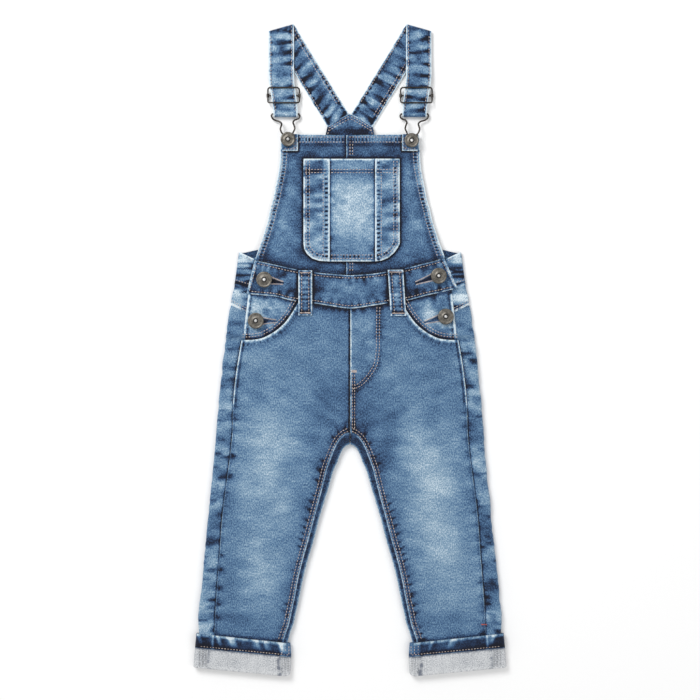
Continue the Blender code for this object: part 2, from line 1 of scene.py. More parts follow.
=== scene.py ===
"""Looks of a child's washed denim dungarees laid flat on their back.

Lengths below are in millimetres; +X is the viewer's right, +Y up the garment, +Z up off the surface.
"""

import math

import bmesh
import bpy
import numpy as np
from mathutils import Matrix, Vector


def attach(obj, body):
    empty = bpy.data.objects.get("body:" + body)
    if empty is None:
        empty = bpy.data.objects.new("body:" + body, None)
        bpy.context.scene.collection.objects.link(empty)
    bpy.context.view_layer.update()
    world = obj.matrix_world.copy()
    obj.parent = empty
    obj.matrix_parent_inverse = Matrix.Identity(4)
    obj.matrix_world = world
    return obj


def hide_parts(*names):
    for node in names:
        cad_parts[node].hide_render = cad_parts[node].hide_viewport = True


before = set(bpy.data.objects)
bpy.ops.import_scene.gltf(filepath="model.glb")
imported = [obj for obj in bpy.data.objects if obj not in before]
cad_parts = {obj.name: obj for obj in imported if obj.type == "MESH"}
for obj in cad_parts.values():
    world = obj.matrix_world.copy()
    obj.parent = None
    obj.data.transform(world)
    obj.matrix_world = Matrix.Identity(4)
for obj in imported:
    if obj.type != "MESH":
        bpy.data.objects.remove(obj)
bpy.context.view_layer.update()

MM = 0.001
GAP = 0.3
CLOTH = 1.4
BAND_CLOTH = 2.0
STRAP_CLOTH = 1.8
Z_UNDER = 0.7
Z_FRONT = 5.9
Z_HIP_WRAP = 4.2
Z_FACING = 5.9
POCKET_RISE = 1.7
Z_WAIST = 7.6
Z_BIB = 4.6
Z_BAND_MID = 7.9
Z_BAND_END = 6.3
CENTRE_X = 0.7          # centre front edge of each leg panel
FRONT_TOP = 44.7        # top of the centre front
LEG_FOOT = -322.0       # where the leg panels end inside the cuff
BIB_TOP = 232.6
BIB_FOOT = 97.4         # lower outer corner of the bib
POCKET_TOP = 205.9      # bib pocket: top, left and right edges
POCKET_LEFT = -50.0
POCKET_RIGHT = 53.5
CUFF_DROP = 22.0        # height of the turned-up cuff below its hem band
BAND_DROP = 14.6        # height of the hem band
CUFF_ROUND = 212.0      # length all round the cuff
CUFF_STITCH_Z = 8.42    # height of the stitches on the cuff and on its band
BAND_STITCH_Z = 9.05

# outer fold of the trousers: y, distance from the centre line
OUTER = [(-340.0, 163.6), (-318.0, 163.0), (-304.0, 163.1), (-292.0, 163.9), (-270.0, 162.0),
         (-216.0, 156.6), (-162.0, 151.2), (-108.0, 145.8), (-54.0, 141.5), (-21.6, 138.2),
         (10.8, 135.0), (32.4, 131.8), (54.0, 128.0), (75.6, 124.2), (97.0, 121.0), (105.8, 119.9)]
# side seam: y, distance from the centre line
SIDE = [(-340.0, 147.5), (-304.6, 146.4), (-270.0, 144.7), (-221.0, 141.0), (-178.0, 137.8),
        (-142.6, 133.4), (-107.0, 128.7), (-89.6, 127.1), (-60.5, 126.4), (-24.8, 122.8),
        (11.0, 116.9), (16.0, 104.0), (110.0, 104.0)]
# crotch and inside leg: row height at the outer fold, fold x and y, seam x and y
INSIDE = [(-98.0, 0.6, -102.0, 0.6, -89.6), (-101.0, 4.3, -103.7, 4.7, -91.3),
          (-106.0, 7.6, -107.0, 10.3, -96.2), (-113.0, 10.8, -113.4, 15.5, -104.5),
          (-121.0, 13.0, -120.0, 20.0, -115.5), (-130.0, 17.3, -129.6, 24.4, -127.5),
          (-141.0, 20.5, -140.4, 27.3, -139.0), (-162.0, 27.0, -162.0, 33.0, -161.0),
          (-183.0, 33.5, -183.6, 39.0, -183.0), (-205.0, 38.9, -205.0, 44.8, -205.0),
          (-226.0, 45.4, -226.8, 51.0, -227.0), (-247.0, 50.8, -248.4, 56.2, -248.6),
          (-267.0, 55.1, -270.0, 60.3, -270.3), (-281.0, 58.3, -284.0, 63.4, -284.4),
          (-290.0, 61.0, -296.0, 66.0, -296.4), (-297.0, 64.6, -306.0, 69.6, -306.4),
          (-304.0, 67.0, -314.0, 72.0, -314.4), (-313.0, 67.2, -323.0, 72.2, -323.4),
          (-322.0, 67.2, -332.0, 72.2, -332.4)]
# pocket opening: distance from the centre line, y
POCKET = [(55.3, 52.2), (62.6, 40.0), (68.7, 31.3), (75.9, 24.0), (86.6, 16.7), (95.6, 12.6),
          (105.0, 11.1), (116.6, 10.6)]
# front waistband: upper edge x and y, lower edge x and y
WAIST = [(-102.7, 96.4, -111.2, 61.1), (-92.0, 94.2, -97.0, 59.7), (-79.0, 91.0, -79.5, 58.0),
         (-58.0, 86.4, -63.3, 53.8), (-37.4, 83.2, -39.2, 50.8), (-20.0, 81.5, -20.5, 47.8),
         (0.0, 80.2, 0.0, 45.1), (20.0, 81.3, 20.5, 47.6), (37.4, 83.6, 39.2, 50.6),
         (58.0, 87.2, 63.3, 54.2), (79.0, 92.6, 83.0, 59.4), (91.0, 95.8, 100.0, 63.0),
         (101.3, 99.1, 115.6, 67.0)]
# bib side edge: y, distance from the centre line
BIB_SIDE = [(97.0, 102.4), (108.0, 98.8), (118.8, 95.0), (129.6, 91.8), (140.0, 88.6), (151.0, 86.4),
            (162.0, 83.2), (172.8, 81.0), (183.6, 78.8), (194.0, 76.7), (205.0, 75.6), (224.6, 74.5),
            (233.0, 74.0)]
# turned-up cuff: y at the outer and inner ends, distance of those ends from the centre line
CUFF_TOP = (-305.7, -316.4, 165.9, 64.3)
CUFF_SPLIT = (-320.5, -330.7, 167.4, 63.3)
CUFF_FOOT = (-342.4, -352.4, 169.2, 64.2)
# largest soft ridges of the laid cloth: start x y, end x y, half width, height
FOLDS = [(-112.0, -8.0, -84.0, -22.0, 11.0, 0.8), (-122.0, -52.0, -92.0, -60.0, 12.0, 0.7),
         (32.0, -84.0, 40.0, -134.0, 11.0, 1.0), (-30.0, -92.0, -44.0, -140.0, 12.0, 0.7),
         (-110.0, -190.0, -80.0, -214.0, 14.0, 0.7), (124.0, -206.0, 84.0, -228.0, 14.0, 0.8),
         (-116.0, -262.0, -84.0, -276.0, 13.0, 0.8), (128.0, -270.0, 88.0, -262.0, 13.0, 0.7),
         (108.0, -6.0, 80.0, -26.0, 11.0, 0.8)]


SIDES = ((-1, "L"), (1, "R"))


def smooth(t):
    t = np.clip(t, 0.0, 1.0)
    return t * t * (3.0 - 2.0 * t)


def hump(d, width):
    return np.exp(-(np.asarray(d, dtype=float) / width) ** 2)


def fade(d, start, width):
    """1 up to start, then falling softly to 0 over width."""
    return 1.0 - smooth((d - start) / width)


def runs(points):
    """How far along the line each of its points lies."""
    steps = np.linalg.norm(np.diff(points, axis=0), axis=1)
    return np.concatenate([[0.0], np.cumsum(steps)])


def lookup(table, key, column=1):
    keys = np.array([row[0] for row in table])
    vals = np.array([row[column] for row in table])
    order = np.argsort(keys)
    return np.interp(key, keys[order], vals[order])


def track(table, key, column=1):
    """The table's column at key, on a smooth curve through its rows."""
    keys = np.array([row[0] for row in table], dtype=float)
    vals = np.array([row[column] for row in table], dtype=float)
    order = np.argsort(keys)
    keys = keys[order]
    vals = vals[order]
    slope = np.gradient(vals, keys)
    key = np.clip(key, keys[0], keys[-1])
    n = np.clip(np.searchsorted(keys, key) - 1, 0, len(keys) - 2)
    h = keys[n + 1] - keys[n]
    t = (key - keys[n]) / h
    a = 2 * t ** 3 - 3 * t ** 2 + 1
    b = t ** 3 - 2 * t ** 2 + t
    c = -2 * t ** 3 + 3 * t ** 2
    d = t ** 3 - t ** 2
    return a * vals[n] + b * h * slope[n] + c * vals[n + 1] + d * h * slope[n + 1]


def line_through(points, step=4.0):
    """A finer, smooth run of points through the given ones."""
    pts = np.array(points, dtype=float)
    dist = runs(pts)
    count = max(2, int(dist[-1] / step) + 1)
    at = np.linspace(0.0, dist[-1], count)
    rows = [(dist[k], *pts[k]) for k in range(len(pts))]
    return np.stack([track(rows, at, 1 + k) for k in range(pts.shape[1])], axis=1)


def along(line, t):
    """Points at the fractions t of a line's length."""
    pts = np.array(line, dtype=float)
    dist = runs(pts)
    dist = dist / dist[-1]
    return np.stack([np.interp(t, dist, pts[:, k]) for k in range(pts.shape[1])], axis=-1)


def near(x, y, line):
    """Distance of each point from a line, and how far along the line its nearest place is."""
    line = np.array(line, dtype=float)
    best = np.full(x.shape, 1e9)
    place = np.zeros(x.shape)
    run = 0.0
    for a, b in zip(line[:-1], line[1:]):
        way = b - a
        size = float(np.hypot(*way))
        if size < 1e-9:
            continue
        t = np.clip(((x - a[0]) * way[0] + (y - a[1]) * way[1]) / size ** 2, 0.0, 1.0)
        d = np.hypot(x - a[0] - t * way[0], y - a[1] - t * way[1])
        closer = d < best
        best = np.where(closer, d, best)
        place = np.where(closer, run + t * size, place)
        run += size
    return best, place


def mottle(x, y, size, seed, stretch=1.0):
    """Soft uneven blotches between -1 and 1, about size across."""
    table = np.random.default_rng(seed).uniform(-1.0, 1.0, (64, 64))
    gx = np.asarray(x) / (size * stretch) + 300.0
    gy = np.asarray(y) / size + 300.0
    ix = np.floor(gx).astype(int)
    iy = np.floor(gy).astype(int)
    fx = smooth(gx - ix)
    fy = smooth(gy - iy)
    p = table[ix % 64, iy % 64] * (1 - fx) + table[(ix + 1) % 64, iy % 64] * fx
    q = table[ix % 64, (iy + 1) % 64] * (1 - fx) + table[(ix + 1) % 64, (iy + 1) % 64] * fx
    return (p * (1 - fy) + q * fy) * 1.35


def rope(s, period, seed):
    """Uneven ripple along a sewn seam, where the stitching gathers the cloth."""
    wander = 0.35 * period * mottle(s, s * 0.0, period * 2.6, seed)
    size = 0.65 + 0.45 * mottle(s, s * 0.0 + 40.0, period * 1.7, seed + 1)
    return np.sin(2 * math.pi * (s + wander) / period) * np.clip(size, 0.1, 1.2)


def waist_smooth(x, edge):
    rows = [(row[2 * edge], row[2 * edge + 1]) for row in WAIST]
    return track(rows, x)


def cuff_line(x, ends=CUFF_TOP):
    y_out, y_in, x_out, x_in = ends
    return y_in + (y_out - y_in) * (x - x_in) / (x_out - x_in)


def lift(x, y):
    return 2.3 * smooth((cuff_line(np.abs(x)) + 15.0 - y) / 12.0)


def folds(x, y):
    total = np.zeros(np.shape(x))
    for x0, y0, x1, y1, width, height in FOLDS:
        d, _ = near(x, y, [(x0, y0), (x1, y1)])
        total = total + height * np.exp(-(d / width) ** 2 * 1.6)
    return total


def bib_z(y):
    return Z_BIB + (Z_WAIST - Z_BIB) * smooth((150.0 - y) / 50.0)


def band_z(x):
    return Z_BAND_END + (Z_BAND_MID - Z_BAND_END) * smooth((98.0 - np.abs(x)) / 22.0)


# ---------------------------------------------------------------- materials

def srgb(r, g, b):
    out = []
    for c in (r, g, b):
        c = c / 255.0
        out.append(c / 12.92 if c <= 0.04045 else ((c + 0.055) / 1.055) ** 2.4)
    return (*out, 1.0)


def group(name, inputs, outputs):
    tree = bpy.data.node_groups.new(name, "ShaderNodeTree")
    for label, kind, value in inputs:
        sock = tree.interface.new_socket(name=label, in_out="INPUT", socket_type=kind)
        if value is not None:
            sock.default_value = value
    for label, kind in outputs:
        tree.interface.new_socket(name=label, in_out="OUTPUT", socket_type=kind)
    start = tree.nodes.new("NodeGroupInput")
    end = tree.nodes.new("NodeGroupOutput")
    return tree, start, end


class Wires:
    """Short hand for adding and joining nodes."""

    def __init__(self, tree):
        self.tree = tree

    def add(self, kind, **settings):
        node = self.tree.nodes.new(kind)
        for key, value in settings.items():
            setattr(node, key, value)
        return node

    def link(self, a, b):
        self.tree.links.new(a, b)

    def put(self, socket, value):
        if isinstance(value, bpy.types.NodeSocket):
            self.link(value, socket)
        else:
            socket.default_value = value

    def math(self, op, a, b=0.0, c=0.0, clamp=False):
        node = self.add("ShaderNodeMath", operation=op, use_clamp=clamp)
        self.put(node.inputs[0], a)
        self.put(node.inputs[1], b)
        if op in ("MULTIPLY_ADD", "WRAP", "CLAMP", "COMPARE"):
            self.put(node.inputs[2], c)
        return node.outputs[0]

    def ramp01(self, value, low, high, out_low=0.0, out_high=1.0):
        node = self.add("ShaderNodeMapRange", interpolation_type="SMOOTHSTEP")
        self.put(node.inputs["Value"], value)
        node.inputs["From Min"].default_value = low
        node.inputs["From Max"].default_value = high
        node.inputs["To Min"].default_value = out_low
        node.inputs["To Max"].default_value = out_high
        return node.outputs["Result"]

    def noise(self, vector, scale, detail=2.0, rough=0.5):
        node = self.add("ShaderNodeTexNoise")
        self.put(node.inputs["Vector"], vector)
        node.inputs["Scale"].default_value = scale
        node.inputs["Detail"].default_value = detail
        node.inputs["Roughness"].default_value = rough
        return node.outputs["Fac"]

    def scaled(self, vector, x, y, z=1.0):
        node = self.add("ShaderNodeMapping")
        self.put(node.inputs["Vector"], vector)
        node.inputs["Scale"].default_value = (x, y, z)
        return node.outputs["Vector"]

    def relief(self, shader, height, distance, strength=1.0):
        """Raise the shader's surface by height, up to distance in metres."""
        node = self.add("ShaderNodeBump")
        node.inputs["Strength"].default_value = strength
        node.inputs["Distance"].default_value = distance
        self.link(height, node.inputs["Height"])
        self.link(node.outputs["Normal"], shader.inputs["Normal"])

    def shades(self, level, stops):
        """Colour for each level, blended between stops of (level, colour)."""
        node = self.add("ShaderNodeValToRGB")
        ramp = node.color_ramp
        while len(ramp.elements) < len(stops):
            ramp.elements.new(0.5)
        for element, (at, rgb) in zip(ramp.elements, stops):
            element.position = at
            element.color = srgb(*rgb)
        self.link(level, node.inputs["Fac"])
        return node.outputs["Color"]

    def two_tone(self, shader, mask, dark, light):
        """Patches of two close colours on the shader."""
        node = self.add("ShaderNodeMix", data_type="RGBA")
        self.link(mask, node.inputs["Factor"])
        node.inputs["A"].default_value = srgb(*dark)
        node.inputs["B"].default_value = srgb(*light)
        self.link(node.outputs["Result"], shader.inputs["Base Color"])


def weave_group():
    """Twill weave and thread grain from a flat map in metres: a height and a fine tone."""
    tree, start, end = group(
        "twill_weave",
        [("Map", "NodeSocketVector", None), ("Threads", "NodeSocketFloat", 1100.0)],
        [("Height", "NodeSocketFloat"), ("Tone", "NodeSocketFloat")],
    )
    w = Wires(tree)
    sep = w.add("ShaderNodeSeparateXYZ")
    w.link(start.outputs["Map"], sep.inputs[0])
    wobble = w.noise(start.outputs["Map"], 160.0, 1.0)
    diag = w.math("ADD", sep.outputs["X"], w.math("MULTIPLY", sep.outputs["Y"], 0.8))
    diag = w.math("ADD", diag, w.math("MULTIPLY", wobble, 0.0006))
    twill = w.math("SINE", w.math("MULTIPLY", w.math("MULTIPLY", diag, start.outputs["Threads"]), 6.2832))
    rows = w.math("MULTIPLY", sep.outputs["Y"], start.outputs["Threads"])
    weft = w.math("SINE", w.math("MULTIPLY", rows, 8.8))
    grain = w.noise(start.outputs["Map"], 1500.0, 2.0, 0.7)
    slub = w.noise(w.scaled(start.outputs["Map"], 0.22, 1.6), 900.0, 2.0, 0.6)
    height = w.math("ADD", w.math("MULTIPLY", twill, 0.32), w.math("MULTIPLY", weft, 0.12))
    height = w.math("ADD", height, w.math("MULTIPLY", grain, 0.8))
    w.link(height, end.inputs["Height"])
    speck = w.noise(w.scaled(start.outputs["Map"], 1.35, 0.8), 640.0, 3.0, 0.8)
    speck = w.ramp01(speck, 0.33, 0.67)
    tone = w.math("ADD", w.math("MULTIPLY", grain, 0.5), w.math("MULTIPLY", slub, 0.5))
    tone = w.math("ADD", tone, w.math("MULTIPLY", speck, 0.8))
    tone = w.math("ADD", w.math("SUBTRACT", tone, 0.91), w.math("MULTIPLY", twill, 0.04))
    w.link(tone, end.inputs["Tone"])
    return tree


# indigo from unwashed to bleached: level, colour
INDIGO = [(0.0, (10, 16, 32)), (0.14, (25, 42, 72)), (0.3, (49, 78, 114)), (0.46, (75, 110, 147)),
          (0.62, (109, 142, 171)), (0.78, (149, 175, 195)), (0.92, (188, 206, 218)), (1.0, (214, 228, 236))]
WEFT = [(0.0, (120, 126, 138)), (0.5, (198, 201, 204)), (1.0, (226, 228, 230))]


def wash_and_shade_group():
    """How washed out the indigo is, from the piece's own attributes and uneven fading; the attributes also
    carry painted shade, and the light and dark edges are painted highlights and painted shade as well as
    wear.
    """
    tree, start, end = group(
        "indigo_wash_and_shade",
        [("Map", "NodeSocketVector", None), ("Wash And Shade", "NodeSocketFloat", 0.5),
         ("Light Edge", "NodeSocketFloat", 9.0), ("Dark Edge", "NodeSocketFloat", 9.0),
         ("Tone", "NodeSocketFloat", 0.0), ("Grain", "NodeSocketFloat", 0.5)],
        [("Colour", "NodeSocketColor"), ("Level", "NodeSocketFloat")],
    )
    w = Wires(tree)
    flat = start.outputs["Map"]
    cloud = w.noise(w.scaled(flat, 0.5, 1.0), 95.0, 3.0, 0.6)
    streak = w.noise(w.scaled(flat, 0.25, 1.3), 420.0, 2.0, 0.55)
    level = w.math("ADD", start.outputs["Wash And Shade"], w.math("MULTIPLY", w.math("SUBTRACT", cloud, 0.5), 0.24))
    level = w.math("ADD", level, w.math("MULTIPLY", w.math("SUBTRACT", streak, 0.5), 0.12))
    level = w.math("ADD", level, w.math("MULTIPLY", start.outputs["Tone"], start.outputs["Grain"]))
    patchy = w.noise(flat, 260.0, 2.0, 0.6)
    # light edges: painted highlight along raised folded edges, partly real wear; dark edges: painted shade
    # beside seams and overlapping edges, partly unfaded dye; both broken up by patchy noise
    light = w.ramp01(start.outputs["Light Edge"], 0.35, 1.9, 0.5, 0.0)
    light = w.math("MULTIPLY", light, w.ramp01(patchy, 0.3, 0.55, 0.35, 1.1))
    dark = w.ramp01(start.outputs["Dark Edge"], 0.4, 2.2, 0.5, 0.0)
    dark = w.math("MULTIPLY", dark, w.ramp01(patchy, 0.25, 0.6, 1.15, 0.7))
    level = w.math("ADD", level, light)
    level = w.math("SUBTRACT", level, dark, clamp=True)
    w.link(w.shades(level, INDIGO), end.inputs["Colour"])
    w.link(level, end.inputs["Level"])
    return tree


WEAVE = weave_group()
WASH_AND_SHADE = wash_and_shade_group()


def blank(name):
    """A new material, its wires and its shader."""
    mat = bpy.data.materials.new(name)
    mat.use_nodes = True
    return mat, Wires(mat.node_tree), mat.node_tree.nodes["Principled BSDF"]


def woven(w, threads):
    """The piece's flat map and the weave laid over it."""
    flat = w.add("ShaderNodeUVMap", uv_map="flat").outputs["UV"]
    weave = w.add("ShaderNodeGroup", node_tree=WEAVE)
    w.link(flat, weave.inputs["Map"])
    weave.inputs["Threads"].default_value = threads
    return flat, weave


def denim(name, grain=0.5, threads=1100.0, sheen=0.12, depth=0.00022):
    """Washed denim driven by its attributes: how washed out it is, with painted shade added, and its light
    and dark edges, which are painted highlights and painted shade as well as wear and unfaded dye.
    """
    mat, w, shader = blank(name)
    flat, weave = woven(w, threads)
    wash_and_shade = w.add("ShaderNodeGroup", node_tree=WASH_AND_SHADE)
    w.link(flat, wash_and_shade.inputs["Map"])
    for label, socket in (("wash_and_shade", "Wash And Shade"), ("light_edge", "Light Edge"), ("dark_edge", "Dark Edge")):
        read = w.add("ShaderNodeAttribute", attribute_name=label)
        w.link(read.outputs["Fac"], wash_and_shade.inputs[socket])
    w.link(weave.outputs["Tone"], wash_and_shade.inputs["Tone"])
    wash_and_shade.inputs["Grain"].default_value = grain
    w.link(wash_and_shade.outputs["Colour"], shader.inputs["Base Color"])
    rough = w.ramp01(wash_and_shade.outputs["Level"], 0.0, 1.0, 0.78, 0.92)
    w.link(rough, shader.inputs["Roughness"])
    w.relief(shader, weave.outputs["Height"], depth, 0.8)
    shader.inputs["Sheen Weight"].default_value = sheen
    shader.inputs["Sheen Roughness"].default_value = 0.5
    shader.inputs["Specular IOR Level"].default_value = 0.25
    return mat


def pale_back(name):
    """Wrong side of the stretch denim: pale grey weft with faint blue flecks."""
    mat, w, shader = blank(name)
    flat, weave = woven(w, 950.0)
    # this attribute also holds the cuff's painted fold shade
    wash_and_shade = w.add("ShaderNodeAttribute", attribute_name="wash_and_shade")
    fleck = w.noise(flat, 860.0, 3.0, 0.8)
    cloud = w.noise(flat, 90.0, 2.0, 0.5)
    level = w.math("ADD", wash_and_shade.outputs["Fac"], w.math("MULTIPLY", w.math("SUBTRACT", fleck, 0.5), 3.0))
    level = w.math("ADD", level, w.math("MULTIPLY", w.math("SUBTRACT", cloud, 0.5), 0.25))
    level = w.math("ADD", level, w.math("MULTIPLY", weave.outputs["Tone"], 0.4), clamp=True)
    w.link(w.shades(level, WEFT), shader.inputs["Base Color"])
    shader.inputs["Roughness"].default_value = 0.9
    w.relief(shader, weave.outputs["Height"], 0.0003, 0.8)
    shader.inputs["Sheen Weight"].default_value = 0.1
    return mat


def thread(name, colour, dark):
    """Spun sewing thread, a little uneven in colour."""
    mat, w, shader = blank(name)
    place = w.add("ShaderNodeTexCoord").outputs["Object"]
    patch = w.noise(place, 220.0, 2.0, 0.6)
    fibre = w.noise(place, 3000.0, 2.0, 0.6)
    w.two_tone(shader, w.ramp01(patch, 0.3, 0.7), dark, colour)
    shader.inputs["Roughness"].default_value = 0.7
    w.relief(shader, fibre, 0.0001)
    return mat


def pewter(name, base, rough, metallic=1.0):
    """Cast or bent metal with a clouded, lightly pitted face."""
    mat, w, shader = blank(name)
    place = w.add("ShaderNodeTexCoord").outputs["Object"]
    cloud = w.noise(place, 380.0, 3.0, 0.6)
    fine = w.noise(place, 2600.0, 2.0, 0.6)
    w.two_tone(shader, w.ramp01(cloud, 0.32, 0.68), [int(c * 0.72) for c in base], base)
    shader.inputs["Metallic"].default_value = metallic
    w.link(w.ramp01(fine, 0.2, 0.8, rough - 0.08, rough + 0.12), shader.inputs["Roughness"])
    w.relief(shader, fine, 0.00006, 0.4)
    return mat


DENIM = denim("washed_denim")
DENIM_DARK = denim("dark_hem_denim", grain=0.3, sheen=0.08)
PALE = pale_back("denim_wrong_side")
TAN = thread("tan_stitching", (226, 212, 204), (160, 142, 134))
# near white and barely metallic: a painted glint on the rivet ends
GLINT_NICKEL = pewter("nickel_painted_glint", (250, 250, 248), 0.4, 0.15)
# near black: painted shade in the buttons' hollows
BORE_SHADE = pewter("painted_bore_shade", (22, 21, 20), 0.6, 0.2)
NAVY = thread("navy_stitching", (40, 50, 74), (22, 28, 44))
GREY = thread("overlock_stitching", (176, 176, 176), (116, 118, 124))
RED = thread("orange_bartack", (214, 98, 62), (170, 70, 50))
BUTTON_METAL = pewter("button_pewter", (128, 124, 117), 0.46)
WIRE_METAL = pewter("wire_gunmetal", (84, 79, 75), 0.32)


# ---------------------------------------------------------------- building cloth and stitches

def as_mesh(bm, name):
    mesh = bpy.data.meshes.new(name)
    bm.to_mesh(mesh)
    bm.free()
    return mesh


def grid_mesh(us, vs, place):
    """A flat grid of quads laid out by place(u, v), with its flat map and wash attributes."""
    us = np.asarray(us, dtype=float)
    vs = np.asarray(vs, dtype=float)
    bm = bmesh.new()
    bmesh.ops.create_grid(bm, x_segments=len(us) - 1, y_segments=len(vs) - 1, size=0.5)
    mesh = as_mesh(bm, "grid")
    count = len(mesh.vertices)
    co = np.empty(count * 3)
    mesh.vertices.foreach_get("co", co)
    co = co.reshape(-1, 3)
    i = np.rint((co[:, 0] + 0.5) * (len(us) - 1)).astype(int)
    j = np.rint((co[:, 1] + 0.5) * (len(vs) - 1)).astype(int)
    out = place(us[i], vs[j])
    xyz = np.stack([out["x"], out["y"], out["z"]], axis=1) * MM
    mesh.vertices.foreach_set("co", xyz.ravel())
    for label, default in (("wash_and_shade", 0.5), ("light_edge", 9.0), ("dark_edge", 9.0)):
        layer = mesh.attributes.new(label, "FLOAT", "POINT")
        values = np.broadcast_to(np.asarray(out.get(label, default), dtype=float), (count,))
        layer.data.foreach_set("value", np.ascontiguousarray(values))
    flat = np.stack([out.get("fu", out["x"]), out.get("fv", out["y"])], axis=1) * MM
    corners = np.empty(len(mesh.loops), dtype=np.int32)
    mesh.loops.foreach_get("vertex_index", corners)
    uv = mesh.uv_layers.new(name="flat")
    uv.data.foreach_set("uv", flat[corners].ravel())
    return mesh


def finish_mesh(name, mesh, mat, nodes, sharp=50.0):
    obj = bpy.data.objects.new(name + "_finished" if nodes else name, mesh)
    bpy.context.scene.collection.objects.link(obj)
    mesh.polygons.foreach_set("use_smooth", [True] * len(mesh.polygons))
    mesh.set_sharp_from_angle(angle=math.radians(sharp))
    mesh.materials.clear()
    mesh.materials.append(mat)
    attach(obj, "root")
    if nodes:
        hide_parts(*nodes)
    return obj


def cloth(name, grids, wall, mat, nodes, weld=False):
    """A sheet of cloth from one or more laid-out grids, given its thickness."""
    bm = bmesh.new()
    for us, vs, place in grids:
        mesh = grid_mesh(us, vs, place)
        bm.from_mesh(mesh)
        bpy.data.meshes.remove(mesh)
    if weld:
        bmesh.ops.remove_doubles(bm, verts=bm.verts, dist=0.00003)
        bmesh.ops.recalc_face_normals(bm, faces=bm.faces)
    mesh = as_mesh(bm, name)
    flat = bpy.data.objects.new(name + "_flat", mesh)
    bpy.context.scene.collection.objects.link(flat)
    mod = flat.modifiers.new("wall", "SOLIDIFY")
    mod.thickness = wall * MM
    mod.offset = 0.0
    mod.use_even_offset = False
    graph = bpy.context.evaluated_depsgraph_get()
    solid = bpy.data.meshes.new_from_object(flat.evaluated_get(graph))
    bpy.data.objects.remove(flat, do_unlink=True)
    solid.name = name
    return finish_mesh(name, solid, mat, nodes)


SEWN = {}


def sewing(kind):
    return SEWN.setdefault(kind, [])


def sew(points, kind="tan", length=2.3, gap=1.0, width=0.78, high=0.5, start=0.0):
    """Lay one row of stitches along a line of points on the cloth, given in mm."""
    row = sewing(kind)
    pts = np.asarray(points, dtype=float)
    run = runs(pts)
    pitch = length + gap
    at = start + gap * 0.5
    while at + length < run[-1]:
        a = np.array([np.interp(at, run, pts[:, k]) for k in range(3)])
        b = np.array([np.interp(at + length, run, pts[:, k]) for k in range(3)])
        stitch(row, a, b, width, high)
        at += pitch


def stitch(row, a, b, width, high):
    """Add the placing of one stitch from a to b to its row."""
    way = Vector(b - a)
    size = way.length
    if size < 0.05:
        return
    way.normalize()
    side = way.cross(Vector((0.0, 0.0, 1.0)))
    side.normalize()
    up = side.cross(way)
    mid = (a + b) / 2 * MM
    turn = Matrix((side * width / 2 * MM, up * high / 2 * MM, way * size / 2 * MM)).transposed()
    row.append(Matrix.Translation(mid) @ turn.to_4x4())


def sew_on(line, height, wall, kind="tan"):
    """One row of stitches lying on a piece of cloth of the given height and wall."""
    sew(on_cloth(line, height, wall), kind)


def bartack(x0, y0, x1, y1, height, width=2.4, kind="tan", count=None):
    """Dense cross stitches over a short bar from one end to the other."""
    row = sewing(kind)
    a = np.array([x0, y0])
    b = np.array([x1, y1])
    size = float(np.hypot(*(b - a)))
    way = (b - a) / size
    out = np.array([-way[1], way[0]])
    count = count or max(4, int(size / 0.55))
    for k in range(count):
        p = a + way * size * (k + 0.5) / count
        z = float(height(np.array([p[0]]), np.array([p[1]]))[0])
        lean = 0.25 if k % 2 else -0.25
        p0 = p - out * width / 2 - way * lean
        p1 = p + out * width / 2 + way * lean
        stitch(row, np.array([*p0, z + 0.3]), np.array([*p1, z + 0.3]), 0.55, 0.6)


def offset(line, distance):
    """The line moved sideways, to its left where distance is positive."""
    line = np.asarray(line, dtype=float)
    way = np.gradient(line, axis=0)
    way /= np.linalg.norm(way, axis=1)[:, None]
    return line + np.stack([-way[:, 1], way[:, 0]], axis=1) * distance


def on_cloth(line, height, wall, sink=0.12, step=1.2):
    """The line's points raised to lie on the cloth's upper face."""
    line = np.asarray(line, dtype=float)
    run = runs(line)
    at = np.linspace(0.0, run[-1], max(2, int(run[-1] / step)))
    x = np.interp(at, run, line[:, 0])
    y = np.interp(at, run, line[:, 1])
    return np.stack([x, y, height(x, y) + wall / 2 + 0.25 - sink], axis=1)


# ---------------------------------------------------------------- the front leg panels

def ladder(d, s, low, high, period, seed):
    """Dark ticks gathered across the strip between two stitch rows."""
    band = smooth((d - low) / 0.9) * smooth((high - d) / 0.9)
    beat = np.sin(2 * math.pi * (s + 0.3 * period * mottle(s, s * 0.0, period * 3.0, seed)) / period)
    size = 0.65 + 0.5 * mottle(s, s * 0.0 + 9.0, period * 2.2, seed + 1)
    return band * smooth(beat * 0.8 + 0.25) * np.clip(size, 0.0, 1.1)


def side_line(side):
    y = np.arange(10.6, LEG_FOOT, -4.0)
    return np.stack([side * (track(SIDE[:11], y) - GAP), y], axis=1)


def inseam_line(side):
    rows = [(abs(r[4] - INSIDE[0][4]) + r[3] * 0.02, r[3], r[4]) for r in INSIDE]
    pts = line_through([(r[1], r[2]) for r in rows], 3.0)
    return np.stack([side * pts[:, 0], pts[:, 1]], axis=1)


def pocket_line(side):
    pts = line_through(POCKET, 2.5)
    return np.stack([side * pts[:, 0], pts[:, 1]], axis=1)


LINES = {side: {"side": side_line(side), "inseam": inseam_line(side), "pocket": pocket_line(side)}
         for side in (-1, 1)}
WAIST_LOW = np.stack([np.linspace(-64.0, 64.0, 60), waist_smooth(np.linspace(-64.0, 64.0, 60), 1)], axis=1)

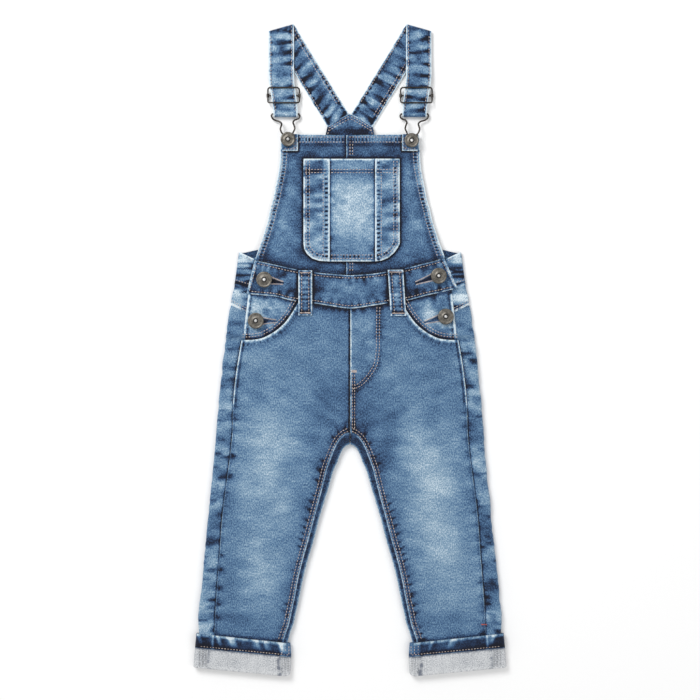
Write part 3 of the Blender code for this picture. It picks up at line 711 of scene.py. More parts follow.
# faded and dark zones of the trouser fronts: x, y, half width, half height, lean in degrees, amount
LEG_ZONES = [
    (-84.0, -108.0, 30.0, 46.0, -12.0, 0.22), (-92.0, -165.0, 26.0, 52.0, -8.0, 0.14),
    (-104.0, -240.0, 24.0, 50.0, -4.0, 0.07), (-60.0, 0.0, 40.0, 26.0, 0.0, 0.04),
    (-70.0, 40.0, 70.0, 14.0, 0.0, -0.02), (-24.0, -60.0, 20.0, 34.0, 0.0, -0.10),
    (-34.0, -118.0, 13.0, 40.0, 14.0, -0.16), (-46.0, -180.0, 11.0, 46.0, 14.0, -0.10),
    (-60.0, -262.0, 10.0, 44.0, 10.0, -0.10), (-130.0, -160.0, 12.0, 90.0, 4.0, -0.06),
    (-106.0, -292.0, 60.0, 9.0, -6.0, -0.06), (-80.0, -150.0, 9.0, 56.0, -29.8, -0.09),
    (-88.0, -250.0, 24.0, 30.0, -6.0, 0.1), (-108.0, -14.0, 16.0, 14.0, 0.0, 0.08),
    (8.0, -14.0, 14.0, 16.0, 0.0, -0.1), (15.0, -80.0, 12.0, 18.0, 0.0, -0.14),
    (-15.0, -92.0, 9.0, 16.0, 0.0, -0.1), (-52.0, -104.0, 16.0, 30.0, 10.0, 0.07),
    (86.0, -128.0, 28.0, 48.0, 10.0, 0.22), (94.0, -190.0, 26.0, 50.0, 8.0, 0.13),
    (108.0, -256.0, 24.0, 40.0, 4.0, 0.05), (70.0, -10.0, 44.0, 26.0, 0.0, 0.02),
    (20.0, -52.0, 18.0, 36.0, 0.0, -0.08), (40.0, -108.0, 12.0, 40.0, -12.0, -0.18),
    (50.0, -188.0, 11.0, 46.0, -14.0, -0.12), (62.0, -262.0, 10.0, 44.0, -10.0, -0.10),
    (128.0, -150.0, 12.0, 90.0, -4.0, -0.05), (110.0, -292.0, 60.0, 9.0, 6.0, -0.06),
    (96.0, -240.0, 26.0, 34.0, 6.0, 0.12), (110.0, -88.0, 16.0, 22.0, 0.0, 0.09),
    (64.0, -16.0, 16.0, 14.0, 0.0, 0.05),
]


# soft dark creases with lighter flanks: start, end, half width, darkness
WHISKERS = [(-9.0, -86.0, -50.0, -62.0, 3.2, 0.06), (-10.0, -70.0, -40.0, -44.0, 2.7, 0.05),
            (-14.0, -98.0, -62.0, -92.0, 3.5, 0.05), (12.0, -84.0, 58.0, -66.0, 3.5, 0.07),
            (14.0, -98.0, 66.0, -100.0, 3.8, 0.06), (12.0, -66.0, 46.0, -40.0, 2.7, 0.05),
            (24.0, -122.0, 60.0, -132.0, 3.5, 0.04), (-26.0, -126.0, -56.0, -118.0, 3.2, 0.04),
            (-122.0, -40.0, -92.0, -52.0, 3.5, 0.05), (-124.0, -84.0, -98.0, -92.0, 3.2, 0.04),
            (120.0, -34.0, 92.0, -48.0, 3.5, 0.05), (126.0, -104.0, 100.0, -112.0, 3.2, 0.04),
            (-60.0, -200.0, -92.0, -212.0, 3.8, 0.04), (-64.0, -176.0, -88.0, -182.0, 3.0, 0.04),
            (60.0, -214.0, 96.0, -226.0, 3.8, 0.04), (70.0, -262.0, 104.0, -258.0, 3.5, 0.04),
            (-74.0, -262.0, -112.0, -270.0, 3.5, 0.04), (-132.0, -226.0, -104.0, -234.0, 3.2, 0.04)]


def zones(x, y, table):
    total = np.zeros(np.shape(x))
    for cx, cy, rx, ry, lean, amount in table:
        c = math.cos(math.radians(lean))
        s = math.sin(math.radians(lean))
        p = ((x - cx) * c + (y - cy) * s) / rx
        q = (-(x - cx) * s + (y - cy) * c) / ry
        total = total + amount * np.exp(-(p * p + q * q))
    return total


def front_relief(x, y, side):
    """Height of the front leg panel's mid wall and its seam ripples, at x and y."""
    lines = LINES[side]
    d_side, s_side = near(x, y, lines["side"])
    d_in, s_in = near(x, y, lines["inseam"])
    d_pocket, s_pocket = near(x, y, lines["pocket"])
    d_top, s_top = near(x, y, WAIST_LOW)
    ripple_in = rope(s_in, 10.5, 11 + side) * hump(d_in - 2.5, 5.0)
    ripple_side = rope(s_side, 17.0, 21 + side) * hump(d_side - 2.0, 5.5)
    ripple_pocket = rope(s_pocket, 7.5, 31 + side) * hump(d_pocket - 3.5, 3.0)
    ripple_top = rope(s_top, 9.0, 41 + side) * hump(d_top - 2.0, 5.0)
    z = Z_FRONT + POCKET_RISE * smooth((y + 24.0) / 24.0)
    inner = smooth(np.minimum(np.minimum(d_side, d_in), np.minimum(d_pocket, d_top)) / 14.0)
    inner = inner * smooth((y - cuff_line(np.abs(x)) - 6.0) / 14.0)
    z = z + folds(x, y) * inner
    z = z + inner * (0.32 * mottle(x, y, 26.0, 5 + side, 1.3) + 0.16 * mottle(x, y, 11.0, 7 + side, 1.4))
    z = z + 0.42 * ripple_in + 0.4 * ripple_side + 0.2 * ripple_pocket + 0.28 * ripple_top
    z = z + 0.45 * fade(d_pocket, 5.0, 1.6)
    z = z + 0.35 * fade(d_side, 3.0, 1.8) * smooth((y + 62.0) / 6.0)
    edge = np.minimum(np.minimum(d_side, d_in), d_pocket)
    centre = np.abs(x - side * CENTRE_X)
    if side > 0:
        z = z + 0.5 * fade(centre, 5.6, 1.5) * smooth((-22.0 - y) / 6.0)
        z = z + 0.3 * fade(centre, 2.5, 2.5)
    edge = np.minimum(edge, centre)
    z = z - 0.55 * fade(edge, 0.0, 1.5)
    return z, {"s_in": s_in, "s_side": s_side, "s_pocket": s_pocket, "d_side": d_side, "d_in": d_in,
               "d_pocket": d_pocket, "d_top": d_top, "centre": centre, "side": ripple_side,
               "pocket": ripple_pocket, "top": ripple_top}


def front_edges():
    """Side and centre points of the panel's rows, from the waistband down to inside the cuff."""
    left = []
    right = []
    weight = []
    pocket = along(line_through(POCKET, 1.5), np.linspace(0.0, 1.0, 52))
    for k, p in enumerate(pocket[:-1]):
        t = k / 51.0
        left.append((p[0] - GAP, p[1] - GAP))
        right.append((CENTRE_X, FRONT_TOP - 34.5 * t))
        weight.append((1.0 - t) ** 2)
    for y in np.arange(10.2, -89.0, -1.7):
        left.append((float(track(SIDE[:11], y)) - GAP, y))
        right.append((CENTRE_X, y))
        weight.append(0.0)
    inseam = [(-90.0, CENTRE_X, -89.3)]
    inseam += [(row[0], max(CENTRE_X, row[3] + GAP), row[4] + GAP) for row in INSIDE[1:]]
    for y in np.arange(-90.0, LEG_FOOT, -1.7):
        left.append((float(track(SIDE[:11], y)) - GAP, y))
        right.append((float(track(inseam, y, 1)), float(track(inseam, y, 2))))
        weight.append(0.0)
    return np.array(left), np.array(right), np.array(weight)


def front_wash_and_shade(x, y, side, r):
    """How washed out the front panel is, with painted shade and painted highlights added, and the distances
    to its lighter edge (wear and painted highlight) and to its edge with painted shade.
    """
    wash_and_shade = 0.5 + zones(x, y, LEG_ZONES) + 0.05 * mottle(x, y, 24.0, 61, 1.4)
    wash_and_shade = wash_and_shade + 0.04 * mottle(x, y, 9.0, 62, 1.6)
    # lighter on the raised seam ripples: partly real roping wear, partly painted light following the relief
    wash_and_shade = wash_and_shade + 0.12 * r["side"] + 0.12 * r["pocket"] + 0.16 * r["top"]
    # painted shadow of the waistband over the top of the panel
    wash_and_shade = wash_and_shade - 0.46 * hump(r["d_top"], 4.2) - 0.16 * hump(r["d_top"], 11.0)
    # dark gathers: wedges inside the crotch and leg seam, blots beside the side seam
    beat = smooth((rope(r["s_in"] + 0.25 * r["d_in"], 8.6, 301 + side) - 0.22) / 0.4)
    wash_and_shade = wash_and_shade - 0.5 * beat * smooth((r["d_in"] - 5.4) / 1.0) * hump(r["d_in"] - 5.0, 5.6)
    wash_and_shade = wash_and_shade - 0.07 * hump(r["d_in"] - 6.0, 5.0)
    wash_and_shade = wash_and_shade - 0.34 * ladder(r["d_in"], r["s_in"], 1.4, 6.4, 3.3, 303 + side)
    wash_and_shade = wash_and_shade - 0.14 * hump(r["d_in"] - 3.8, 2.4)
    blot = np.clip(rope(r["s_side"], 15.5, 305 + side) - 0.35, 0.0, 1.0)
    low = smooth((-56.0 - y) / 8.0)
    wash_and_shade = wash_and_shade - low * (0.75 * blot * hump(r["d_side"] - 3.2, 3.2) + 0.14 * hump(r["d_side"] - 1.6, 1.1))
    hip_edge = 0.4 * hump(r["d_side"] - 2.4, 1.1) + 0.4 * blot * hump(r["d_side"] - 7.0, 4.0)
    wash_and_shade = wash_and_shade - (1.0 - low) * hip_edge
    wash_and_shade = wash_and_shade - 0.3 * ladder(r["d_pocket"], r["s_pocket"], 2.4, 7.2, 3.3, 307 + side)
    wash_and_shade = wash_and_shade - 0.12 * hump(r["d_pocket"] - 4.8, 2.0)
    wash_and_shade = wash_and_shade - 0.08 * hump(r["d_pocket"] - 9.0, 2.4)
    wash_and_shade = wash_and_shade - 0.14 * hump(x, 9.0) * smooth((-16.0 - y) / 18.0)
    # painted shade along the top of the raised cuff
    wash_and_shade = wash_and_shade - 0.34 * hump(y - cuff_line(np.abs(x)), 2.6) - 0.08 * hump(y - cuff_line(np.abs(x)), 9.0)
    for x0, y0, x1, y1, width, amount in WHISKERS:
        d, _ = near(x, y, [(x0, y0), (x1, y1)])
        wash_and_shade = wash_and_shade - amount * hump(d, width) + 0.5 * amount * hump(d - 2.4 * width, width)
    # light edges: painted highlight along the pocket, leg seam and side seam, partly real wear
    light = np.minimum(r["d_pocket"] * 0.55, r["d_in"] * 0.9 + 0.1)
    light = np.minimum(light, np.where(r["d_side"] < 4.0, r["d_side"] * 0.9 + 0.95 * low, 9.0))
    if side > 0:
        d_fly, s_fly = near(x, y, FLY_LINE)
        wash_and_shade = wash_and_shade - 0.4 * ladder(d_fly, s_fly, -0.8, 4.4, 3.3, 311) * (x < 33.8)
        wash_and_shade = wash_and_shade - 0.14 * hump(d_fly - 1.0, 4.0)
        centre_row = 0.4 * ladder(x - CENTRE_X, y, 1.2, 5.8, 3.3, 313) + 0.12 * hump(x - 4.2, 2.6)
        wash_and_shade = wash_and_shade - centre_row * smooth((-24.0 - y) / 3.0)
        wash_and_shade = wash_and_shade - 0.1 * np.clip(rope(s_fly, 11.0, 315), 0, 1) * hump(d_fly - 4.0, 4.0)
        wash_and_shade = wash_and_shade + 0.06 * (x < 30.0) * smooth((y + 34.0) / 8.0) * smooth(x / 3.0)
        wash_and_shade = wash_and_shade + 0.07 * mottle(x, y, 7.0, 317) * hump(x - 18.0, 16.0) * smooth((y + 40.0) / 8.0)
        # centre front: painted highlight on the right panel's overlapping edge, painted shade along the left
        # panel's edge beneath it
        return wash_and_shade, np.minimum(light, r["centre"]), 9.0
    return wash_and_shade, light, np.minimum(9.0, r["centre"])


def front_leg(side, name):
    """One front trouser panel with its rows of stitches; gives back its height."""
    left, right, weight = front_edges()
    rows = np.arange(len(left), dtype=float)
    columns = np.linspace(0.0, 1.0, 84)

    def place(u, v):
        n = np.rint(v).astype(int)
        x = left[n, 0] + (right[n, 0] - left[n, 0]) * u
        y = left[n, 1] + (right[n, 1] - left[n, 1]) * u
        top = waist_smooth(side * x, 1) - GAP
        line = waist_smooth(side * left[n, 0], 1) + (45.1 - waist_smooth(side * left[n, 0], 1)) * u - GAP
        y = y + weight[n] * (top - line)
        z, r = front_relief(side * x, y, side)
        x = side * x
        wash_and_shade, light, dark = front_wash_and_shade(x, y, side, r)
        return {"x": x, "y": y, "z": z, "wash_and_shade": wash_and_shade, "light_edge": light, "dark_edge": dark}

    obj = cloth(name, [(columns, rows, place)], CLOTH, DENIM, [name])
    height = lambda x, y: front_relief(x, y, side)[0]
    for away in (3.3, 6.2):
        sew_on(offset(LINES[side]["pocket"], side * away), height, CLOTH)
    seam = LINES[side]["side"]
    sew_on(offset(seam[seam[:, 1] > -60.0], side * 2.2)[2:], height, CLOTH, "navy")
    sew_on(offset(LINES[side]["inseam"], side * 2.3)[:-6], height, CLOTH)
    sew_on(offset(LINES[side]["inseam"], side * 5.4)[:-6], height, CLOTH)
    return height


# fly stitching on the right half: outer row, the inner row runs beside it
FLY_LINE = line_through([(32.2, 47.0), (31.6, 20.0), (31.2, -3.0), (28.4, -17.5), (21.8, -28.0),
                         (14.8, -36.0), (6.6, -41.0), (2.0, -42.2)], 1.5)
FRONT = {way: front_leg(way, "front_leg_" + letter) for way, letter in SIDES}
sew_on(FLY_LINE, FRONT[1], CLOTH)
sew_on(offset(FLY_LINE, -3.2)[:-2], FRONT[1], CLOTH)
for x in (2.4, 5.0):
    sew_on([(x, -26.0), (x, -88.0)], FRONT[1], CLOTH)
bartack(1.4, -23.0, 7.2, -23.0, lambda x, y: FRONT[1](x, y) + CLOTH / 2, 3.6)


# ---------------------------------------------------------------- the back leg panels

def wrap(ox, oy, sx, sy, low, high, part, t, half=CLOTH / 2):
    """Points of the strip (part 0) or the fold (part 1) that a back panel wraps round its edge."""
    size = np.hypot(ox - sx, oy - sy)
    wx = (ox - sx) / size
    wy = (oy - sy) / size
    radius = (high - low) / 2.0
    cx = ox - wx * (half + radius)
    cy = oy - wy * (half + radius)
    a = math.pi * (0.5 - t)
    reach = np.where(part == 0, 0.0, radius * np.cos(a))
    x = np.where(part == 0, sx + (cx - sx) * t, cx + wx * reach)
    y = np.where(part == 0, sy + (cy - sy) * t, cy + wy * reach)
    z = np.where(part == 0, high, low + radius + radius * np.sin(a))
    run = np.where(part == 0, np.hypot(cx - sx, cy - sy) * t,
                   np.hypot(cx - sx, cy - sy) + math.pi * radius * t)
    return x, y, z, run


def side_z(y):
    return Z_FRONT + (Z_HIP_WRAP - Z_FRONT) * smooth((y - 3.0) / 8.0)


def inside_at(y):
    return [track(INSIDE, y, k) for k in (1, 2, 3, 4)]


def back_leg(side, name):
    """Back trouser panel: front strip, outer fold and underside, and the wrap up the inside leg."""
    crotch = -98.0
    above = np.concatenate([[36.0], np.arange(34.0, -97.0, -2.2), [crotch]])
    below = np.concatenate([[crotch], np.arange(-99.2, -104.0, -1.0), np.arange(-104.5, -321.0, -2.2),
                            [LEG_FOOT]])
    rows = np.concatenate([above, below[1:]])
    strip = [(0, t) for t in np.linspace(0.0, 1.0, 9)[:-1]]
    arc = [(1, t) for t in np.linspace(0.0, 1.0, 11)]
    floor = [(2, t) for t in np.linspace(0.0, 1.0, 56)[1:]]
    table = strip + arc + floor
    sections = np.array(table)
    mids = [(36.0, 34.0), (27.0, 26.0), (17.5, 17.5), (-200.0, -200.0)]
    rise = 12.3

    def outer_at(y):
        wobble = 0.5 * mottle(y, y * 0.0, 13.0, 71 + side) + 0.35 * mottle(y, y * 0.0, 5.0, 72 + side)
        return track(OUTER, y) + np.minimum(wobble, 0.35) * smooth((y + 296.0) / 10.0)

    def seam_x(y):
        return np.where(y > 10.9, lookup(SIDE, y), track(SIDE[:11], y))

    def body(u, v):
        k = np.rint(u).astype(int)
        part = sections[k, 0]
        t = sections[k, 1]
        tilt = rise * smooth((v - 30.0) / 6.0)
        oy = v + tilt
        ox = outer_at(oy)
        low = Z_UNDER + lift(ox - 4.0, oy)
        across = np.where(part == 2, 1.0, t)
        x, y, z, run = wrap(ox, oy, seam_x(v), v, low, side_z(v), np.minimum(part, 1), across)
        fx, fy, sx, sy = inside_at(np.minimum(v, crotch))
        size = np.hypot(fx - sx, fy - sy)
        low_in = Z_UNDER + lift(fx + 4.0, fy)
        reach = CLOTH / 2 + (Z_FRONT - low_in) / 2.0
        mid_y = np.interp(v, [r[0] for r in mids[::-1]], [r[1] for r in mids[::-1]])
        ix = np.where(v <= crotch, fx - (fx - sx) / size * reach, 0.6)
        iy = np.where(v <= crotch, fy - (fy - sy) / size * reach, mid_y)
        q = np.where(part == 2, t, 0.0)
        x = x + (ix - x) * q
        y = y + (iy - y) * q
        under = Z_UNDER + lift(x, y)
        z = np.where(part == 2, np.where(q > 0.999, np.where(v <= crotch, low_in, Z_UNDER), under), z)
        on_top = np.clip((z - 3.0) / 2.0, 0.0, 1.0) * (part < 2)
        d_seam, s_seam = near(side * x, y, LINES[side]["side"])
        ripple = rope(s_seam, 17.0, 21 + side) * hump(d_seam - 2.0, 6.0)
        side_folds = mottle(x * 0.35 + y * 0.1, y, 12.0, 75 + side)
        raised = 0.38 * ripple + 0.35 * side_folds * smooth(d_seam / 4.0) - 0.5 * fade(d_seam, 0.0, 1.4)
        z = z + on_top * raised
        spots = np.clip(mottle(x * 0.28 + y * 0.1, y, 3.6, 79 + side) - 0.3, 0.0, 1.0)
        wash_and_shade = 0.5 + 0.06 * mottle(x, y, 20.0, 76)
        wash_and_shade = wash_and_shade + on_top * (0.05 + 0.16 * ripple + 0.14 * side_folds - 0.55 * spots)
        wash_and_shade = wash_and_shade + 0.07 * hump((part == 1) * (t - 0.35), 0.2) * (part == 1)
        wash_and_shade = wash_and_shade - 0.14 * (part == 0) * hump(d_seam, 3.5)
        fu = np.where(part == 2, run + np.abs(x - (ox - 3.3)), run)
        return {"x": side * x, "y": y, "z": z, "wash_and_shade": wash_and_shade, "fu": fu, "fv": y,
                "dark_edge": np.where(part < 2, d_seam, 9.0)}

    def inner(u, v):
        k = np.rint(u).astype(int)
        part = np.where(k <= 10, 1, 0)
        t = np.where(k <= 10, 1.0 - k / 10.0, 1.0 - (k - 10) / 5.0)
        fx, fy, sx, sy = inside_at(v)
        low_in = Z_UNDER + lift(fx + 4.0, fy)
        x, y, z, run = wrap(fx, fy, sx, sy, low_in, Z_FRONT, part, t)
        on_top = np.clip((z - 3.0) / 2.0, 0.0, 1.0)
        d_in, s_in = near(side * x, y, LINES[side]["inseam"])
        ripple = rope(s_in, 10.5, 11 + side) * hump(d_in - 2.0, 5.0)
        z = z + on_top * (0.35 * ripple - 0.5 * fade(d_in, 0.0, 1.4))
        core = (part == 0) * smooth(d_in / 0.8) + (part == 1) * fade(t, 0.02, 0.2)
        wash_and_shade = 0.5 + 0.05 * mottle(x, y, 12.0, 77) + 0.1 * on_top * ripple - 0.36 * core
        return {"x": side * x, "y": y, "z": z, "wash_and_shade": wash_and_shade, "fu": 200.0 - run, "fv": y,
                "light_edge": np.where(part == 1, np.abs(z - 4.2) + 0.5, 9.0)}

    grids = [(np.arange(len(table)), rows, body), (np.arange(16), below, inner)]
    obj = cloth(name, grids, CLOTH, DENIM, [name], weld=True)
    return obj


for way, letter in SIDES:
    back_leg(way, "back_leg_" + letter)


# ---------------------------------------------------------------- the back: yokes, waistband, bib

def hip_at(u, y_seam, y_outer, y_mid, wiggle=0.0):
    """Point of a hip section at column u: strip 0-8, fold 8-18, underside beyond."""
    part = np.where(u < 8, 0, 1)
    t = np.where(u < 8, u / 8.0, np.clip((u - 8) / 10.0, 0.0, 1.0))
    ox = track(OUTER, y_outer) + wiggle
    x, y, z, run = wrap(ox, y_outer, 104.0 + 0.0 * u, y_seam, Z_UNDER, Z_HIP_WRAP, part, t)
    q = np.clip((u - 18) / 44.0, 0.0, 1.0)
    end_x = 0.15
    fu = run + (x - end_x) * q
    return x + (end_x - x) * q, y + (y_mid - y) * q, z, fu, q


def strip_relief(x, y, z, side, d_low, d_high, seed):
    """Ripples of the hip pieces where they show on top, and how much they show."""
    on_top = np.clip((z - 2.2) / 1.6, 0.0, 1.0)
    crease = mottle(x * 0.3 + y * 0.05, y, 8.0, seed)
    gather = rope(side * x, 8.0, seed + 3) * (hump(d_low - 2.0, 3.0) + hump(d_high - 2.0, 3.0))
    edge = np.minimum(d_low, d_high)
    rise = on_top * (0.35 * crease + 0.2 * gather - 0.5 * fade(edge, 0.0, 1.3))
    return rise, on_top, crease, gather


def hip_yoke(side, name):
    def place(u, v):
        wiggle = 0.4 * mottle(v * 24.0, v * 0.0, 9.0, 81)
        x0, y0, z0, fu, q = hip_at(u, 36.4, 48.9 + 0.0 * v, 34.5)
        x1, y1, _, _, _ = hip_at(u, 66.7, 73.1 + 0.0 * v, 66.7)
        x = x0 + (x1 - x0) * v + wiggle * (q < 0.5)
        y = y0 + (y1 - y0) * v
        height = (y1 - y0)
        rise, top, crease, gather = strip_relief(x, y, z0, side, v * height, (1 - v) * height, 82 + side)
        # lighter on raised creases and gathers, with thin dark crease lines: partly real wear, partly painted
        # light and shade following the relief
        wash_and_shade = 0.5 + 0.05 * mottle(x, y, 15.0, 84) + top * (0.08 + 0.3 * crease + 0.16 * gather)
        wash_and_shade = wash_and_shade - 0.6 * top * np.clip(mottle(x * 0.3, y, 4.2, 86 + side) - 0.3, 0, 1)
        wash_and_shade = wash_and_shade - 0.7 * top * hump(mottle(x * 0.22, y, 6.5, 89 + side) * 6.5, 0.9)
        wash_and_shade = wash_and_shade + 0.1 * top * hump((v - 0.5), 0.3) - 0.1 * (x < 117.0) * top
        return {"x": side * x, "y": y, "z": z0 + rise, "wash_and_shade": wash_and_shade, "fu": fu, "fv": y,
                "light_edge": np.minimum(9.0, np.abs(v * height - 1.2)) + 0.0 * x,
                "dark_edge": (1 - v) * height}

    obj = cloth(name, [(np.arange(63), np.linspace(0.0, 1.0, 24), place)], CLOTH, DENIM, [name])
    for up in (2.2, 4.8):
        pts = []
        for u in np.linspace(0.5, 12.0, 24):
            x, y, z, _, _ = hip_at(np.array([u]), 36.4, np.array([48.9]), 34.5)
            pts.append((side * float(x[0]), float(y[0]) + up, float(z[0]) + CLOTH / 2 + 0.2))
        sew(pts)


def back_waistband():
    half = 63

    def place(u, v):
        side = np.where(u < half, -1.0, 1.0)
        k = np.where(u < half, u, 2 * half - 1 - u)
        x0, y0, z0, fu, q = hip_at(k, 67.0, 73.4 + 0.0 * v, 67.0)
        x1, y1, _, _, _ = hip_at(k, 98.2, 105.8 + 0.0 * v, 112.0)
        dip = 3.4 * smooth(q * 5.0) * (1.0 - q) * v
        x = x0 + (x1 - x0) * v
        y = y0 + (y1 - y0) * v + dip
        tall = y1 - y0
        rise, top, crease, gather = strip_relief(x, y, z0, 1, v * tall, (1 - v) * tall, 92)
        # lighter on raised creases and gathers, with thin dark crease lines: partly real wear, partly painted
        # light and shade following the relief
        wash_and_shade = 0.5 + 0.05 * mottle(side * x, y, 14.0, 94) + top * (0.05 + 0.3 * crease + 0.16 * gather)
        wash_and_shade = wash_and_shade - 0.6 * top * np.clip(mottle(side * x * 0.3, y, 4.4, 96) - 0.25, 0, 1)
        wash_and_shade = wash_and_shade - 0.7 * top * hump(mottle(side * x * 0.22, y, 6.5, 99) * 6.5, 0.9)
        wash_and_shade = wash_and_shade - 0.3 * (1.0 - top) * (v > 0.8)
        return {"x": side * x, "y": y, "z": z0 + rise, "wash_and_shade": wash_and_shade, "fu": side * (200.0 - fu), "fv": y,
                "light_edge": np.where(top > 0.2, (1 - v) * tall, 9.0), "dark_edge": v * tall + 0.3}

    obj = cloth("back_waistband", [(np.arange(2 * half), np.linspace(0.0, 1.0, 32), place)], CLOTH,
                DENIM, ["back_waistband"])
    for side in (-1, 1):
        for base, up in ((67.0, 2.6), (98.2, -2.6)):
            pts = []
            for u in np.linspace(0.5, 12.0, 24):
                outer = 73.4 if base < 80 else 105.8
                x, y, z, _, _ = hip_at(np.array([u]), base, np.array([outer]), 67.0)
                pts.append((side * float(x[0]), float(y[0]) + up, float(z[0]) + CLOTH / 2 + 0.2))
            sew(pts)


def back_bib():
    def place(u, v):
        half = 93.0 + (25.5 - 93.0) * v
        low = lookup([(0.0, 112.3), (30.0, 111.8), (60.0, 111.0), (100.0, 109.8)], np.abs(u) * half)
        x = u * half
        y = low + 0.5 + (251.2 - 17.0 * np.abs(u) - low) * v
        edge = (1.0 - np.abs(u)) * half * 0.86
        wash_and_shade = 0.46 + 0.06 * mottle(x, y, 18.0, 101) - 0.25 * ladder(edge, y, 2.6, 6.6, 4.0, 102)
        return {"x": x, "y": y, "z": 0.0 * x + 0.7, "wash_and_shade": wash_and_shade, "light_edge": edge}

    grid = (np.linspace(-1, 1, 90), np.linspace(0, 1, 80), place)
    obj = cloth("back_bib", [grid], CLOTH, DENIM, ["back_bib"])


def strap_yoke():
    roof = [(-24.5, 241.0), (-12.0, 249.2), (0.0, 255.0), (12.0, 249.2), (24.5, 241.0)]

    def roof_y(x):
        return 255.0 - 14.0 * (np.abs(x) / 24.5) ** 1.15

    def height(x, y):
        d, s = near(x, y, roof)
        return 2.9 + 0.45 * fade(d, 5.6, 1.4) - 0.5 * fade(d, 0.0, 1.3) \
            + 0.2 * rope(s, 6.0, 111) * hump(d - 6.0, 3.0)

    def place(u, v):
        x = 24.5 * u + 4.5 * u * v
        y = roof_y(24.5 * u) + (221.0 - roof_y(24.5 * u)) * v
        d, s = near(x, y, roof)
        wash_and_shade = 0.36 + 0.16 * mottle(x, y, 8.0, 112) + 0.12 * hump(d - 4.0, 3.4)
        wash_and_shade = wash_and_shade - 0.3 * ladder(d, s, 2.0, 5.8, 3.4, 117)
        wash_and_shade = wash_and_shade - 0.34 * smooth((243.0 - y) / 6.0) + 0.14 * hump(np.hypot(x, y - 245.0), 6.0)
        wash_and_shade = wash_and_shade + 0.1 * rope(s, 6.0, 111) * hump(d - 6.0, 3.0)
        return {"x": x, "y": y, "z": height(x, y), "wash_and_shade": wash_and_shade, "light_edge": d + 0.5}

    obj = cloth("strap_yoke", [(np.linspace(-1, 1, 60), np.linspace(0, 1, 36), place)], CLOTH, DENIM,
                ["strap_yoke"])
    for down in (2.4, 5.4):
        for way in (-1, 1):
            line = [(way * x, float(roof_y(x)) - down) for x in np.linspace(0.4, 23.6, 16)]
            sew_on(line, height, CLOTH)
    for way in (-1, 1):
        sew_on([(way * 22.6, 239.0), (way * 24.6, 231.0)], height, CLOTH)


for way, letter in SIDES:
    hip_yoke(way, "hip_yoke_" + letter)
back_waistband()
back_bib()
strap_yoke()


# ---------------------------------------------------------------- front waistband, facings, loops

LOOPS = {-1: ((-48.15, 85.6), (-48.15, 37.4), 7.1), 1: ((48.9, 86.2), (52.2, 36.9), 8.0)}
# buttonholes: end at the button x and y, tip x and y
HOLES = [(-86.0, 75.0, -71.5, 72.0), (-95.5, 31.5, -79.5, 31.0), (89.5, 78.6, 70.5, 71.8),
         (97.5, 34.8, 80.5, 29.6)]


def hole_shade(x, y):
    """How deep a point lies in a buttonhole's slit, and its distance from the worked edge."""
    dark = np.zeros(np.shape(x))
    edge = np.full(np.shape(x), 9.0)
    for ax, ay, bx, by in HOLES:
        d, s = near(x, y, [(ax, ay), (bx, by)])
        size = math.hypot(bx - ax, by - ay)
        half = 0.9 + 2.3 * (1.0 - s / size) ** 1.4
        dark = np.maximum(dark, smooth((half + 0.5 - d) / 0.8))
        edge = np.minimum(edge, np.abs(d - half - 1.1))
    return dark, edge


def waist_lines():
    k = np.linspace(0, len(WAIST) - 1, 160)
    rows = [(n, *row) for n, row in enumerate(WAIST)]
    top = np.stack([track(rows, k, 1), track(rows, k, 2)], axis=1)
    low = np.stack([track(rows, k, 3), track(rows, k, 4)], axis=1)
    return top, low


WAIST_TOP_LINE, WAIST_LOW_LINE = waist_lines()


def waist_relief(x, y):
    d_top, s_top = near(x, y, WAIST_TOP_LINE[::5])
    d_low, s_low = near(x, y, WAIST_LOW_LINE[::5])
    d_end = np.minimum(near(x, y, [WAIST_TOP_LINE[0], WAIST_LOW_LINE[0]])[0],
                       near(x, y, [WAIST_TOP_LINE[-1], WAIST_LOW_LINE[-1]])[0])
    top = rope(s_top, 8.0, 121) * hump(d_top - 4.0, 4.0)
    low = rope(s_low, 9.0, 123) * hump(d_low - 4.0, 4.0)
    inner = smooth(np.minimum(np.minimum(d_top, d_low), d_end) / 9.0)
    hole, rim = hole_shade(x, y)
    z = band_z(x) + 0.3 * top + 0.3 * low + inner * 0.5 * mottle(x, y, 12.0, 125, 1.3)
    z = z + 0.3 * hump(rim, 1.3) - 0.7 * hole
    edge = np.minimum(np.minimum(d_top, d_low), d_end)
    z = z - 0.7 * fade(edge, 0.0, 1.7)
    return z, {"top": top, "low": low, "d_top": d_top, "d_low": d_low, "d_end": d_end, "hole": hole}


def waist_height(x, y):
    return waist_relief(x, y)[0]


